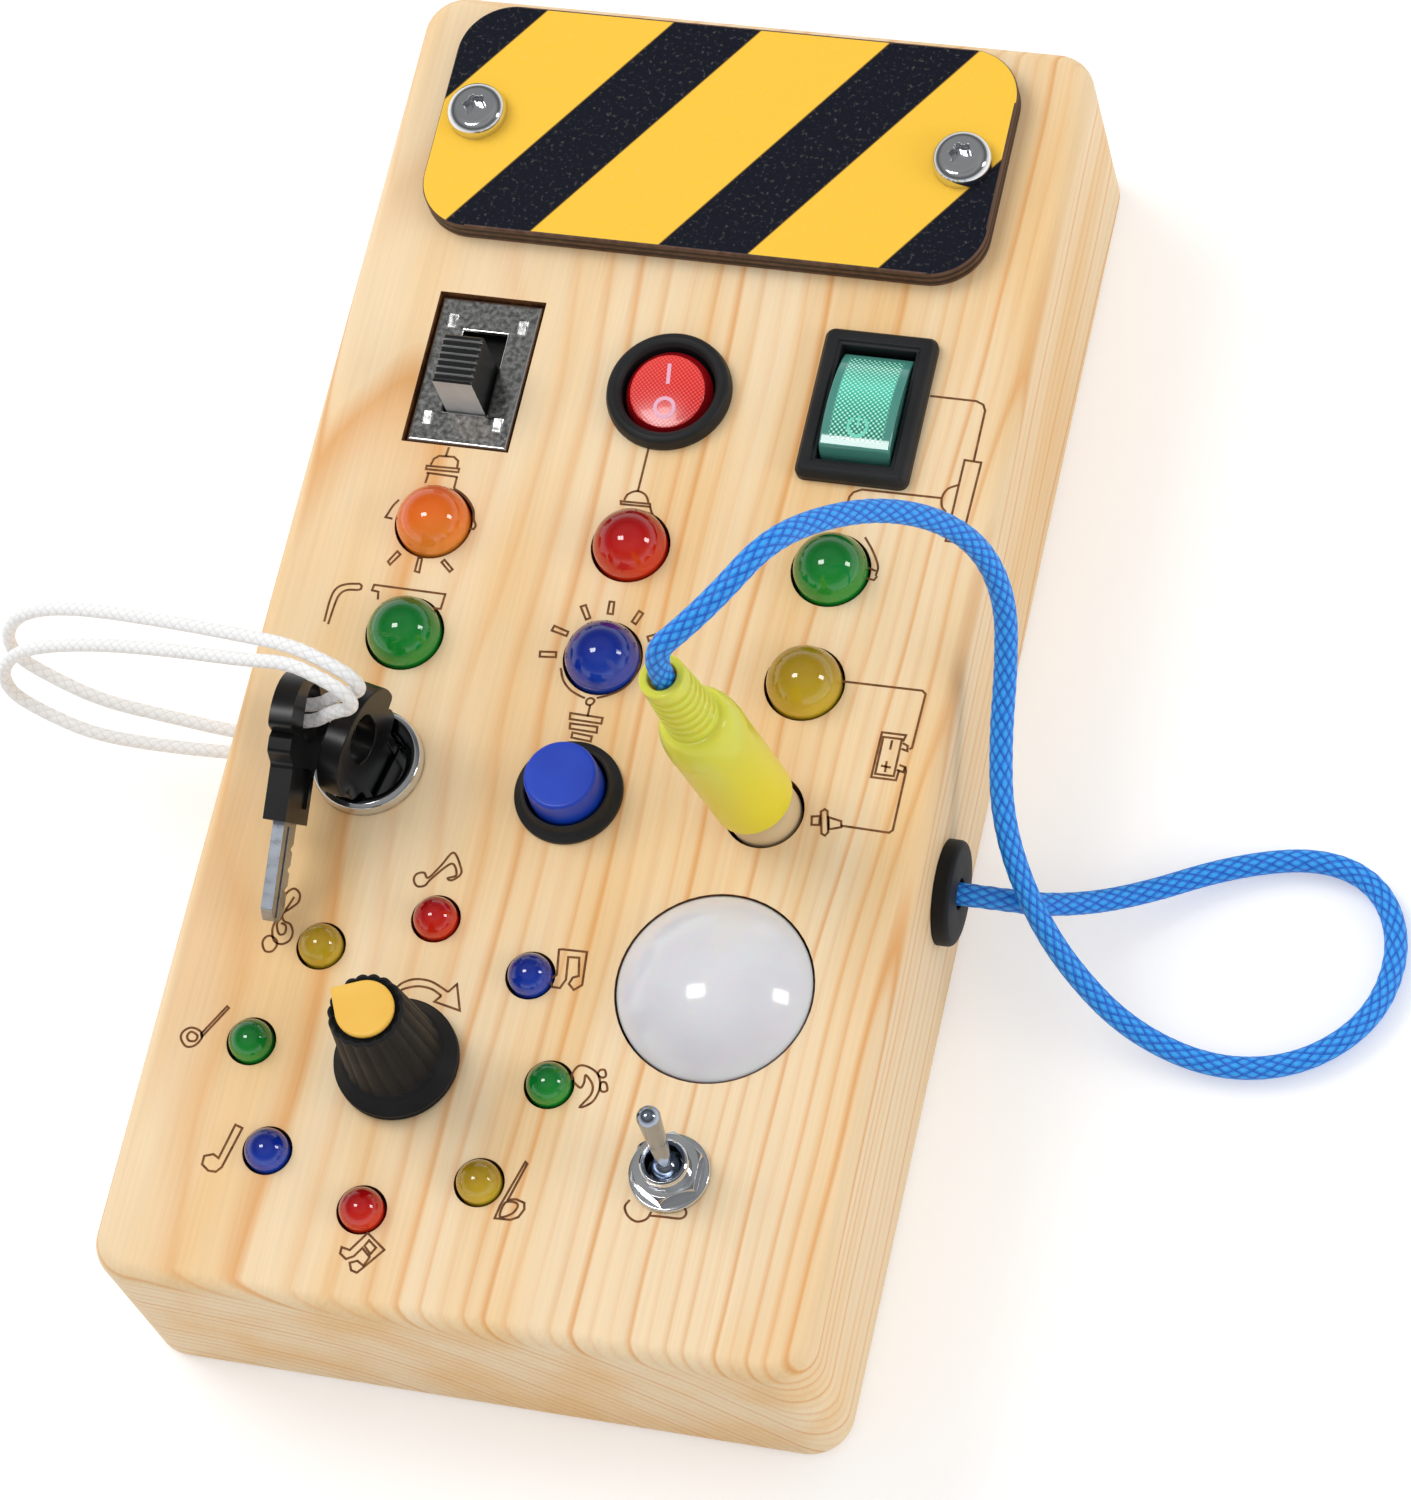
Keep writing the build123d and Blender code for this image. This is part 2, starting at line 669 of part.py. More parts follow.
# ---------------------------------------------------------------- key lock
plug_face = face - lock_recess_depth
collar_floor = plug_face - key_collar_seat
with BuildPart() as lock_housing:
    cx, cy = lock_centre
    ring_top = face + lock_ring_height
    with BuildSketch(Plane.XZ.offset(-cy)):
        with BuildLine():
            outer = cx + lock_ring_radius
            mouth = cx + lock_bore_radius
            crest = (outer - 0.9, ring_top)
            Line((outer, face), (outer, face + 0.8))
            ThreePointArc((outer, face + 0.8), (outer - 0.25, ring_top - 0.35), crest)
            ThreePointArc(crest, (mouth + 0.55, ring_top - 0.5), (mouth, ring_top - 1.4))
            Polyline((mouth, ring_top - 1.4), (mouth, face - lock_body_depth + 1.5),
                     (cx, face - lock_body_depth + 1.5), (cx, face - lock_body_depth),
                     (cx + lock_body_radius, face - lock_body_depth), (cx + lock_body_radius, face), (outer, face))
        make_face()
    revolve(axis=Axis((cx, cy, 0), (0, 0, 1)))
save(lock_housing.part, "lock_housing")
save(hex_nut(lock_centre, 14.4, lock_body_radius, inside - inner_nut_height, inside), "lock_nut")

slip = 0.15                          # gap round the key in its slot
with BuildPart() as lock_plug:
    with BuildSketch(Plane.XY.offset(plug_face)):
        with Locations(lock_centre):
            Circle(lock_plug_radius)
    extrude(amount=-(plug_face - (face - lock_body_depth + 1.6)))
    chamfer(lock_plug.faces().sort_by(Axis.Z)[-1].edges(), 0.3)
    with BuildSketch(Plane.XY.offset(plug_face)):
        with Locations(lock_centre):
            Rectangle(key_thickness + 2 * slip, key_collar_width + 2 * slip, rotation=lock_key_turn)
    extrude(amount=-(key_collar_seat + slip), mode=Mode.SUBTRACT)
    with BuildSketch(Plane.XY.offset(plug_face)):
        with Locations(lock_centre):
            Rectangle(key_blade_thickness + 2 * slip, key_blade_width + 2 * slip, rotation=lock_key_turn)
    extrude(amount=-(key_collar_seat + key_blade_length + 2 * slip), mode=Mode.SUBTRACT)
save(lock_plug.part, "lock_plug")


def key_plane(top_y, top_z, x, tilt):
    """Plane of a key: local X runs from the bow end towards the blade tip, local Y across the key."""
    along = (0, -cos(radians(tilt)), -sin(radians(tilt)))
    return Plane(origin=(x, top_y, top_z), x_dir=along, z_dir=(1, 0, 0))


key_collar_end = key_bow_length + key_collar_length
key_bow_half = key_bow_width / 2
key_lobe_half = 6.3                  # the second, narrower lobe behind the waist
key_lobe_end = 10.6
# one side of the head's outline, from the bow end to the collar: distance along the key, half width
key_side = [(0, key_bow_half), (7.4, key_bow_half), (8.0, key_lobe_half - 0.6), (8.8, key_lobe_half),
            (key_lobe_end, key_lobe_half), (key_lobe_end + 1.4, key_collar_width / 2),
            (key_collar_end, key_collar_width / 2)]


def key_head(plane):
    """Moulded key head: round bow with a cord slot, a waist, a second lobe, then the collar round the blade."""
    with BuildPart() as head:
        with BuildSketch(plane) as outline:
            with BuildLine():
                Polyline(*key_side, *[(along, -across) for along, across in reversed(key_side)], close=True)
            make_face()
            fillet(outline.vertices().group_by(Axis.X)[5], 1.0)
            fillet(outline.vertices().group_by(Axis.X)[4], 0.8)
            fillet(outline.vertices().group_by(Axis.X)[1], 0.9)
            fillet(outline.vertices().group_by(Axis.X)[0], 6.4)
            with Locations((key_slot_centre, 0)):
                SlotOverall(key_slot_length, key_slot_width, mode=Mode.SUBTRACT)
        extrude(amount=key_thickness / 2, both=True)
        # sunk panel on both broad faces, leaving a raised rim
        with BuildSketch(plane.offset(key_thickness / 2), plane.offset(-key_thickness / 2)):
            with Locations((key_collar_end - 4.5, 0)):
                Rectangle(5.0, key_collar_width - 2.4)
        extrude(amount=0.35, both=True, mode=Mode.SUBTRACT)
        # pocket for the blade
        with BuildSketch(plane):
            with Locations((key_collar_end - 2.0, 0)):
                Rectangle(4.0, key_blade_width)
        extrude(amount=key_blade_thickness / 2, both=True, mode=Mode.SUBTRACT)
    return head.part


key_slot_centre = 5.0
key_slot_length = 7.6
key_slot_width = 5.6


def key_blade(plane):
    """Flat steel blade: cut teeth on both edges and a chamfered tip, its root inside the collar."""
    half = key_blade_width / 2
    root = key_collar_end - 4.0
    tip = key_collar_end + key_blade_length
    with BuildPart() as blade:
        with BuildSketch(plane):
            with BuildLine():
                Polyline((root, -half), (tip - 1.4, -half), (tip, -half + 1.4), (tip, half - 1.4), (tip - 1.4, half),
                         (root, half), close=True)
            make_face()
            with Locations(*[(key_collar_end + 3.2 + 2.6 * tooth, half) for tooth in range(3)]):
                RegularPolygon(0.9, 3, rotation=-90, mode=Mode.SUBTRACT)
        extrude(amount=key_blade_thickness / 2, both=True)
        with BuildSketch(plane.offset(key_blade_thickness / 2)):
            with Locations(((key_collar_end + tip) / 2, -0.5)):
                Rectangle(key_blade_length - 1.0, 0.8)
        extrude(amount=-0.5, mode=Mode.SUBTRACT)
    return blade.part


lock_key_top = collar_floor + key_collar_end
lock_key_facing = (cos(radians(lock_key_turn)), sin(radians(lock_key_turn)), 0)
lock_key_plane = Plane(origin=(*lock_centre, lock_key_top), x_dir=(0, 0, -1), z_dir=lock_key_facing)
spare_key_plane = key_plane(spare_key_top[0], spare_key_top[1], spare_key_x, spare_key_tilt)
save(key_head(lock_key_plane), "lock_key_head")
save(key_blade(lock_key_plane), "lock_key_blade")
save(key_head(spare_key_plane), "spare_key_head")
save(key_blade(spare_key_plane), "spare_key_blade")

# ---------------------------------------------------------------- selector switch and knob
shaft_top = face + 13.0
with BuildPart() as rotary_switch_body:
    with BuildSketch(Plane.XY.offset(inside)):
        with Locations(ring_centre):
            Circle(8.0)
    extrude(amount=-9.0)
    with BuildSketch(Plane.XY.offset(inside)):
        with Locations(ring_centre):
            Circle(knob_shaft_radius + 0.9)
    extrude(amount=front_wall + 2.2)
    with BuildSketch(Plane.XY.offset(face + 2.2)):
        with Locations(ring_centre):
            Circle(knob_shaft_radius + 0.05)
    extrude(amount=-(front_wall + 2.2 + 4.0), mode=Mode.SUBTRACT)
save(rotary_switch_body.part, "rotary_switch_body")
save(hex_nut(ring_centre, 10.0, knob_shaft_radius + 0.9, face, face + 1.8), "rotary_switch_nut")

with BuildPart() as knob_shaft:
    with BuildSketch(Plane.XY.offset(inside - 3.9)):
        with Locations(ring_centre):
            Circle(knob_shaft_radius)
    extrude(amount=shaft_top - inside + 3.9)
save(knob_shaft.part, "knob_shaft")

skirt_low = face + knob_bottom
knob_top = skirt_low + knob_height
with BuildPart() as selector_knob:
    cx, cy = ring_centre
    with BuildSketch(Plane.XZ.offset(-cy)):
        with BuildLine():
            skirt = cx + knob_skirt_radius
            root = cx + knob_body_radius
            Polyline((cx, skirt_low), (skirt - 0.2, skirt_low), (skirt, skirt_low + 0.3), (skirt, skirt_low + 1.3),
                     (skirt - 0.35, skirt_low + 1.7))
            ThreePointArc((skirt - 0.35, skirt_low + 1.7), (skirt - 1.7, skirt_low + 2.05), (root, skirt_low + 3.0))
            Polyline((root, skirt_low + 3.0), (cx + knob_top_radius, knob_top - 0.4),
                     (cx + knob_top_radius - 0.4, knob_top), (cx, knob_top), (cx, skirt_low))
        make_face()
    revolve(axis=Axis((cx, cy, 0), (0, 0, 1)))
    # grip flutes up the tapered body
    flute_radius = 0.62
    lean = (knob_body_radius - knob_top_radius) / (knob_height - 3.0)
    for index in range(knob_flutes):
        angle = 2 * pi * (index + 0.5) / knob_flutes
        outward = (cos(angle), sin(angle))
        foot = knob_body_radius + 0.2 + lean * 0.4
        foot_point = (cx + foot * outward[0], cy + foot * outward[1], skirt_low + 3.4)
        axis = (-lean * outward[0], -lean * outward[1], 1)
        with BuildSketch(Plane(origin=foot_point, z_dir=axis)):
            Circle(flute_radius)
        extrude(amount=knob_height, mode=Mode.SUBTRACT)
    # hollow under the skirt, then the shaft bore
    with BuildSketch(Plane.XY.offset(skirt_low)):
        with Locations(ring_centre):
            Circle(6.3)
    extrude(amount=1.9, mode=Mode.SUBTRACT)
    with BuildSketch(Plane.XY.offset(skirt_low)):
        with Locations(ring_centre):
            Circle(knob_shaft_radius)
    extrude(amount=shaft_top - skirt_low, mode=Mode.SUBTRACT)
save(selector_knob.part, "selector_knob")

pointer_plane = Plane(origin=(ring_centre[0], ring_centre[1], knob_top), z_dir=(0, 0, 1)).rotated((0, 0, pointer_angle))
pointer_radius = 3.7
pointer_reach = 5.3
with BuildPart() as knob_pointer_cap:
    with BuildSketch(pointer_plane):
        with BuildLine():
            # teardrop: a round disc whose two tangents meet at the pointer's tip
            opening = 48.0
            touch_x = pointer_radius * cos(radians(opening))
            touch_y = pointer_radius * sin(radians(opening))
            arc = CenterArc((0, 0), pointer_radius, opening, 360 - 2 * opening)
            Polyline((touch_x, -touch_y), (pointer_reach, 0), (touch_x, touch_y))
        make_face()
    extrude(amount=0.7)
    fillet(knob_pointer_cap.faces().sort_by(Axis.Z)[-1].edges(), 0.3)
save(knob_pointer_cap.part, "knob_pointer_cap")

# ---------------------------------------------------------------- night-light dome
with BuildPart() as night_light_dome:
    cx, cy = dome_centre
    sphere_radius = (dome_radius**2 + dome_rise**2) / (2 * dome_rise)
    inner_radius = dome_radius - dome_wall
    inner_rise = dome_rise - dome_wall
    with BuildSketch(Plane.XZ.offset(-cy)):
        with BuildLine():
            shoulder = (cx + dome_radius, face)
            summit = (cx, face + dome_rise)
            sag = sphere_radius - (sphere_radius**2 - (dome_radius / 2)**2) ** 0.5
            ThreePointArc(shoulder, (cx + dome_radius / 2, face + dome_rise - sag), summit)
            Line(summit, (cx, face + inner_rise))
            inner_sphere = (inner_radius**2 + inner_rise**2) / (2 * inner_rise)
            inner_sag = inner_sphere - (inner_sphere**2 - (inner_radius / 2)**2) ** 0.5
            ThreePointArc((cx, face + inner_rise), (cx + inner_radius / 2, face + inner_rise - inner_sag),
                          (cx + inner_radius, face))
            Polyline((cx + inner_radius, face), (cx + inner_radius, inside - 1.2),
                     (cx + dome_radius + dome_flange, inside - 1.2), (cx + dome_radius + dome_flange, inside),
                     (cx + dome_radius, inside), (cx + dome_radius, face))
        make_face()
    revolve(axis=Axis((cx, cy, 0), (0, 0, 1)))
save(night_light_dome.part, "night_light_dome")

with BuildPart() as night_light_board:
    board_top = inside - 1.2
    with BuildSketch(Plane.XY.offset(board_top)):
        with Locations(dome_centre):
            Circle(dome_radius + dome_flange)
    extrude(amount=-1.6)
    with BuildSketch(Plane.XY.offset(board_top)):
        with Locations(dome_centre):
            with GridLocations(7.0, 7.0, 2, 2):
                Rectangle(3.5, 2.8)
    extrude(amount=1.4)
save(night_light_board.part, "night_light_board")

# ---------------------------------------------------------------- toggle switch
toggle_plane = Plane(origin=(toggle_centre[0], toggle_centre[1], 0), z_dir=(0, 0, 1)).rotated((0, 0, toggle_turn))
toggle_pivot_z = face + 2.2
bush_top = face + toggle_bush_rise
with BuildPart() as toggle_case:
    with BuildSketch(toggle_plane.offset(inside)):
        Rectangle(8.0, 13.0)
    extrude(amount=-9.5)
    with BuildSketch(toggle_plane.offset(inside)):
        Circle(toggle_bush_radius)
    extrude(amount=-toggle_bush_seat, mode=Mode.SUBTRACT)
    with BuildSketch(toggle_plane.offset(inside - 9.5)):
        with GridLocations(0, 4.7, 1, 3):
            Rectangle(2.0, 0.8)
    extrude(amount=-3.8)
save(toggle_case.part, "toggle_case")

with BuildPart() as toggle_bushing:
    with BuildSketch(toggle_plane.offset(inside - toggle_bush_seat)):
        Circle(toggle_bush_radius)
    extrude(amount=bush_top - (inside - toggle_bush_seat))
    chamfer(toggle_bushing.faces().sort_by(Axis.Z)[-1].edges(), 0.3)
    # mouth that the lever leans in
    mouth_radius = 2.35
    with BuildSketch(toggle_plane.offset(bush_top)):
        Circle(mouth_radius)
    extrude(amount=-(bush_top - toggle_pivot_z + 3.5), mode=Mode.SUBTRACT)
save(toggle_bushing.part, "toggle_bushing")

with BuildPart() as toggle_washer:
    with BuildSketch(toggle_plane.offset(face)):
        Circle(toggle_washer_radius)
        Circle(toggle_bush_radius + 0.1, mode=Mode.SUBTRACT)
    extrude(amount=0.8)
    chamfer(toggle_washer.faces().sort_by(Axis.Z)[-1].outer_wire().edges(), 0.2)
save(toggle_washer.part, "toggle_washer")

with BuildPart() as toggle_nut:
    nut_low = face + 0.8
    with BuildSketch(toggle_plane.offset(nut_low)):
        RegularPolygon(toggle_nut_width / 2, 6, major_radius=False, rotation=15)
    extrude(amount=2.2)
    # corners turned down by a cone, as on any machined nut
    with BuildSketch(Plane.XZ.offset(-toggle_centre[1])):
        with BuildLine():
            x, top = toggle_centre[0], nut_low + 2.2
            reach = toggle_nut_width / 2
            Polyline((x + reach + 0.1, top), (x + reach + 1.1, top - 0.6), (x + reach + 1.1, top), close=True)
        make_face()
    revolve(axis=Axis((toggle_centre[0], toggle_centre[1], 0), (0, 0, 1)), mode=Mode.SUBTRACT)
    with BuildSketch(toggle_plane.offset(nut_low)):
        Circle(toggle_bush_radius)
    extrude(amount=2.2, mode=Mode.SUBTRACT)
save(toggle_nut.part, "toggle_nut")

lever_plane = Plane(origin=(toggle_centre[0], toggle_centre[1], toggle_pivot_z), z_dir=(0, 0, 1))
lever_plane = lever_plane.rotated((0, 0, toggle_turn)).rotated((-toggle_lean, 0, 0))
lever_tip_radius = 1.5
lever_root_radius = 1.0
ball_radius = 2.0
with BuildPart() as toggle_lever:
    with BuildSketch(Plane(origin=lever_plane.origin, x_dir=lever_plane.x_dir, z_dir=-lever_plane.y_dir)):
        with BuildLine():
            tip_centre = toggle_lever_length - lever_tip_radius
            neck = (ball_radius**2 - lever_root_radius**2) ** 0.5
            Line((0, -ball_radius), (0, toggle_lever_length))
            CenterArc((0, tip_centre), lever_tip_radius, 0, 90)
            Line((lever_tip_radius, tip_centre), (lever_root_radius, neck))
            ThreePointArc((lever_root_radius, neck), (ball_radius, 0), (0, -ball_radius))
        make_face()
    revolve(axis=Axis(lever_plane.origin, lever_plane.z_dir))
save(toggle_lever.part, "toggle_lever")

# ---------------------------------------------------------------- plug, socket
plug_mouth = Vector(plug_centre[0] - 0.1, plug_centre[1], face)
plug_direction = Vector(-sin(radians(plug_tilt)), 0, cos(radians(plug_tilt)))
plug_section = Plane(origin=plug_mouth, x_dir=(0, 1, 0), z_dir=Vector(0, 1, 0).cross(plug_direction))


def plug_ring(profile):
    """Revolve a closed radius-and-height profile about the leaning plug axis."""
    with BuildPart() as turned:
        with BuildSketch(plug_section):
            with BuildLine():
                Polyline(*profile, close=True)
            make_face()
        revolve(axis=Axis(plug_mouth, plug_direction))
    return turned.part


plug_pin_radius = 1.7
plug_pin_length = 7.0
plug_tip = plug_ring([(0, -plug_tip_depth - plug_pin_length), (plug_pin_radius - 0.5, -plug_tip_depth - plug_pin_length),
                      (plug_pin_radius, -plug_tip_depth - plug_pin_length + 0.7), (plug_pin_radius, -plug_tip_depth),
                      (plug_tip_radius - 0.3, -plug_tip_depth), (plug_tip_radius, -plug_tip_depth + 0.3),
                      (plug_tip_radius, plug_tip_rise), (0, plug_tip_rise)])
save(plug_tip, "plug_tip")

def neck_radius(height):
    """The neck tapers evenly from the shoulder to the cord."""
    part = (height - plug_neck_foot) / (plug_end - plug_neck_foot)
    return plug_neck_foot_radius + part * (plug_neck_end_radius - plug_neck_foot_radius)


rib_count = 6
rib_depth = 0.3
rib_pitch = (plug_end - plug_neck_foot - 2.4) / rib_count
neck_profile = []
for rib in range(rib_count):
    for step, drop in ((0.1, 0), (0.25, rib_depth), (0.6, rib_depth), (0.75, 0)):
        height = plug_neck_foot + 1.0 + (rib + step) * rib_pitch
        neck_profile.append((neck_radius(height) - drop, height))
# long rounded shoulder: a quarter ellipse between the straight body and the neck
shoulder_profile = []
for step in range(9):
    angle = radians(90 * step / 8)
    shoulder_profile.append((plug_neck_foot_radius + (plug_body_radius - plug_neck_foot_radius) * cos(angle) ** 0.9,
                             plug_shoulder + (plug_neck_foot - plug_shoulder) * sin(angle)))
socket_radius = cord_radius + 0.35
plug_profile = [(0, plug_tip_rise), (plug_body_radius - 0.5, plug_tip_rise), (plug_body_radius, plug_tip_rise + 0.5),
                *shoulder_profile, *neck_profile,
                (neck_radius(plug_end - 0.4), plug_end - 0.4), (plug_neck_end_radius - 0.35, plug_end),
                (socket_radius, plug_end), (socket_radius, plug_end - plug_cord_depth), (0, plug_end - plug_cord_depth)]
save(plug_ring(plug_profile), "plug_body")

with BuildPart() as plug_socket:
    # cup behind the front wall: a wide mouth for the collar, a well for the pin
    with BuildSketch(Plane.XY.offset(inside)):
        with Locations(plug_centre):
            Circle(8.4)
    extrude(amount=-10.5)
    with BuildSketch(Plane.XY.offset(inside)):
        with Locations((plug_centre[0] + 1.4, plug_centre[1])):
            Circle(3.4)
    extrude(amount=-9.0, mode=Mode.SUBTRACT)
save(plug_socket.part, "plug_socket")

# ---------------------------------------------------------------- circuit board on four posts
board_post_spacing = (54.0, 14.0)
control_centre = (0.0, 6.0)
control_low = 8.0
with BuildPart() as circuit_board:
    with BuildSketch(Plane.XY.offset(control_low)):
        with Locations(control_centre):
            Rectangle(62.0, 22.0)
    extrude(amount=1.6)
    with BuildSketch(Plane.XY.offset(control_low + 1.6)):
        with Locations((control_centre[0] - 8.0, control_centre[1]), (control_centre[0] + 10.0, control_centre[1])):
            Rectangle(8.0, 5.0)
    extrude(amount=1.5)
save(circuit_board.part, "circuit_board")

with BuildPart() as board_posts:
    with BuildSketch(Plane.XY.offset(back_panel_thickness)):
        with Locations(control_centre):
            with GridLocations(*board_post_spacing, 2, 2):
                Circle(2.2)
    extrude(amount=control_low - back_panel_thickness)
save(board_posts.part, "board_posts")

# ---------------------------------------------------------------- cords
grommet_face = board_width / 2 + grommet_flange_thickness
grommet_dish = 0.6
with BuildPart() as cord_grommet:
    grommet_plane = Plane(origin=(board_width / 2, grommet_y, grommet_z), x_dir=(0, 1, 0), z_dir=(1, 0, 0))
    with BuildSketch(grommet_plane):
        Circle(grommet_flange_radius)
    extrude(amount=grommet_flange_thickness)
    fillet(cord_grommet.faces().sort_by(Axis.X)[-1].edges(), 0.8)
    with BuildSketch(grommet_plane):
        Circle(grommet_sleeve_radius)
    extrude(amount=-side_wall)
    with BuildSketch(grommet_plane.offset(grommet_flange_thickness)):
        Circle(cord_radius + 0.5)
    extrude(amount=-grommet_dish, mode=Mode.SUBTRACT)
    with BuildSketch(grommet_plane.offset(grommet_flange_thickness)):
        Circle(cord_radius)
    extrude(amount=-(grommet_flange_thickness + side_wall), mode=Mode.SUBTRACT)
save(cord_grommet.part, "cord_grommet")

plug_cord_end = plug_mouth + plug_direction * (plug_end - plug_cord_depth)
plug_cord_lead = plug_mouth + plug_direction * (plug_end + 5.1)
cord_start = board_width / 2 - side_wall - 1.5
blue_route = [
    (cord_start, grommet_y, grommet_z), (53.0, grommet_y, grommet_z), (59.5, -18.8, 8.8), (67.6, -14.4, 4.0),
    (79.7, -7.3, 2.0),
    (90.8, -4.7, 2.0), (98.8, -7.7, 2.0), (102.6, -15.8, 2.0), (100.6, -25.9, 2.0), (92.7, -33.1, 2.0),
    (82.2, -35.2, 2.0), (71.1, -32.6, 4.5), (62.8, -27.3, 10.0), (57.2, -21.3, 16.0), (53.0, -13.2, 21.5),
    (51.9, -4.8, 27.0), (52.2, 2.4, 34.0), (52.1, 7.8, 41.5), (49.8, 10.5, 50.0), (45.4, 9.8, 58.5),
    (40.0, 6.1, 67.0), (34.8, -0.2, 75.0), (31.5, -7.0, 81.3), (27.3, -13.2, 80.0), (23.6, -17.0, 78.0),
    (plug_cord_lead.X, plug_cord_lead.Y, plug_cord_lead.Z), (plug_cord_end.X, plug_cord_end.Y, plug_cord_end.Z)]

key_cord_start = -board_width / 2 + side_wall + 0.2
knot_face = spare_key_x - key_thickness / 2 - 0.2
first_strand_route = [
    (key_cord_start, -13.0, 15.5), (-50.0, -12.5, 15.2), (-62.0, -10.9, 14.0), (-71.4, -9.9, 14.0),
    (-78.9, -7.8, 15.0), (-83.6, -6.5, 17.5), (-83.8, -5.0, 22.0), (-79.4, -4.5, 28.0), (-70.0, -5.7, 34.0),
    (-54.4, -9.4, 42.0), (-39.9, -13.1, 49.0), (-32.5, -15.6, 53.6), (-27.5, -17.2, 53.5), (-24.2, -18.2, 52.2),
    (-23.6, -18.6, 49.1), (-27.4, -18.8, 47.5), (-31.3, -18.9, 42.9), (knot_face, -18.9, 42.9)]
second_strand_route = [
    (key_cord_start, -15.0, 15.5), (-50.0, -15.3, 15.2), (-62.0, -14.8, 13.0), (-71.7, -14.4, 13.0),
    (-79.4, -12.4, 14.0), (-83.5, -11.2, 16.5), (-83.3, -9.7, 21.0), (-78.4, -9.3, 27.0), (-67.0, -10.5, 34.0),
    (-52.8, -13.1, 41.5), (-40.2, -15.9, 48.0), (-32.6, -17.8, 53.4), (-27.6, -19.4, 53.3), (-24.6, -20.4, 52.0),
    (-24.1, -20.9, 49.0), (-27.5, -21.1, 47.4), (-31.3, -21.1, 42.8), (knot_face, -21.1, 42.8)]


def cord_tube(label, route, radius):
    """Round cord along straight runs joined by arcs as large as the runs allow."""
    points = [Vector(*point) for point in route]
    runs = [b - a for a, b in zip(points, points[1:])]
    turns = [a.get_angle(b) for a, b in zip(runs, runs[1:])]
    radii = [0.45 * min(a.length, b.length) / tan(radians(turn / 2)) for a, b, turn in zip(runs, runs[1:], turns)]
    print(label, "radii", [round(r, 1) for r in radii])
    with BuildPart() as tube:
        with BuildLine() as path:
            FilletPolyline(*route, radius=radii)
        with BuildSketch(Plane(origin=path.line @ 0, z_dir=path.line % 0)):
            Circle(radius)
        sweep()
    length = path.wire().length
    print(label, "length", round(length, 1), "volume ratio", round(tube.part.volume / (pi * radius**2 * length), 4))
    save(tube.part, label)


cord_tube("blue_cord", blue_route, cord_radius)
cord_tube("key_cord_first_strand", first_strand_route, key_cord_radius)
cord_tube("key_cord_second_strand", second_strand_route, key_cord_radius)

with BuildPart() as key_cord_knot:
    # overhand knot of both strands, flattened where it bears on the spare key
    with BuildSketch(Plane(origin=(knot_face, -20.0, 42.85), x_dir=(0, 1, 0), z_dir=(-1, 0, 0))):
        Ellipse(2.6, 3.0)
    extrude(amount=1.8)
    fillet(key_cord_knot.faces().sort_by(Axis.X)[0].edges(), 1.2)
save(key_cord_knot.part, "key_cord_knot")

with BuildPart() as key_cord_stop_knot:
    # second knot behind the left wall; it keeps the strands from pulling out
    with BuildSketch(Plane(origin=(-board_width / 2 + side_wall, -14.0, 15.5), x_dir=(0, 1, 0), z_dir=(1, 0, 0))):
        Circle(3.3)
        with Locations((1.0, 0), (-1.0, 0)):
            Circle(key_cord_radius + 0.05, mode=Mode.SUBTRACT)
    extrude(amount=0.3)
    with BuildSketch(Plane(origin=(-board_width / 2 + side_wall + 0.3, -14.0, 15.5), x_dir=(0, 1, 0), z_dir=(1, 0, 0))):
        Circle(3.3)
    extrude(amount=4.2)
    fillet(key_cord_stop_knot.faces().sort_by(Axis.X)[-1].edges(), 1.6)
save(key_cord_stop_knot.part, "key_cord_stop_knot")
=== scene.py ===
import math
import bpy
import bmesh
import numpy as np
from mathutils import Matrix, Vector


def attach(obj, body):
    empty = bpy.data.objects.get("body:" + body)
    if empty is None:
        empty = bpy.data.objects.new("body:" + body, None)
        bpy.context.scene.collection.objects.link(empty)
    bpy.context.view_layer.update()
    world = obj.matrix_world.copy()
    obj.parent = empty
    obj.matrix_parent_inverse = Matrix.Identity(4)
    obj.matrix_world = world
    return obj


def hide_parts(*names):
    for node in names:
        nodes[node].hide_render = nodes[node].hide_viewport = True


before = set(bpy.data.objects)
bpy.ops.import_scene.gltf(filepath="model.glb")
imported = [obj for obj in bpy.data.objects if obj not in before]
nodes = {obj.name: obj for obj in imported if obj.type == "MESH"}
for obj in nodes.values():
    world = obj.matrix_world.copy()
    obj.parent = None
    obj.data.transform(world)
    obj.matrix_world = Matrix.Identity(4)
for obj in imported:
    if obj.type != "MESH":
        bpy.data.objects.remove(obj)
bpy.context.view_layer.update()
mm = 0.001
print("frame loaded,", len(nodes), "nodes")

# places on the board, in mm, shared by several pieces
face = 31.0                                     # height of the board's front face
rockerPivot = 29.8                              # height of both rockers' pins
boardPlaces = {
    "ring": (-13.0, -59.8), "ringRadius": 19.5, "slide": (-26.5, 36.0), "roundRocker": (0.2, 36.0),
    "greenRocker": (26.6, 36.7), "plate": (-0.9, 72.5), "button": (0.0, -21.2), "lock": (-26.8, -20.7),
    "dome": (24.2, -44.3), "toggle": (24.1, -68.9), "grommet": (46.25, -21.5, 15.4),
}


# small tools
def linearColour(code):
    # sRGB hex to linear: c/12.92 below 0.04045, else ((c + 0.055)/1.055)^2.4
    parts = [int(code[i:i + 2], 16) / 255 for i in (1, 3, 5)]
    return [c / 12.92 if c <= 0.04045 else ((c + 0.055) / 1.055) ** 2.4 for c in parts] + [1.0]


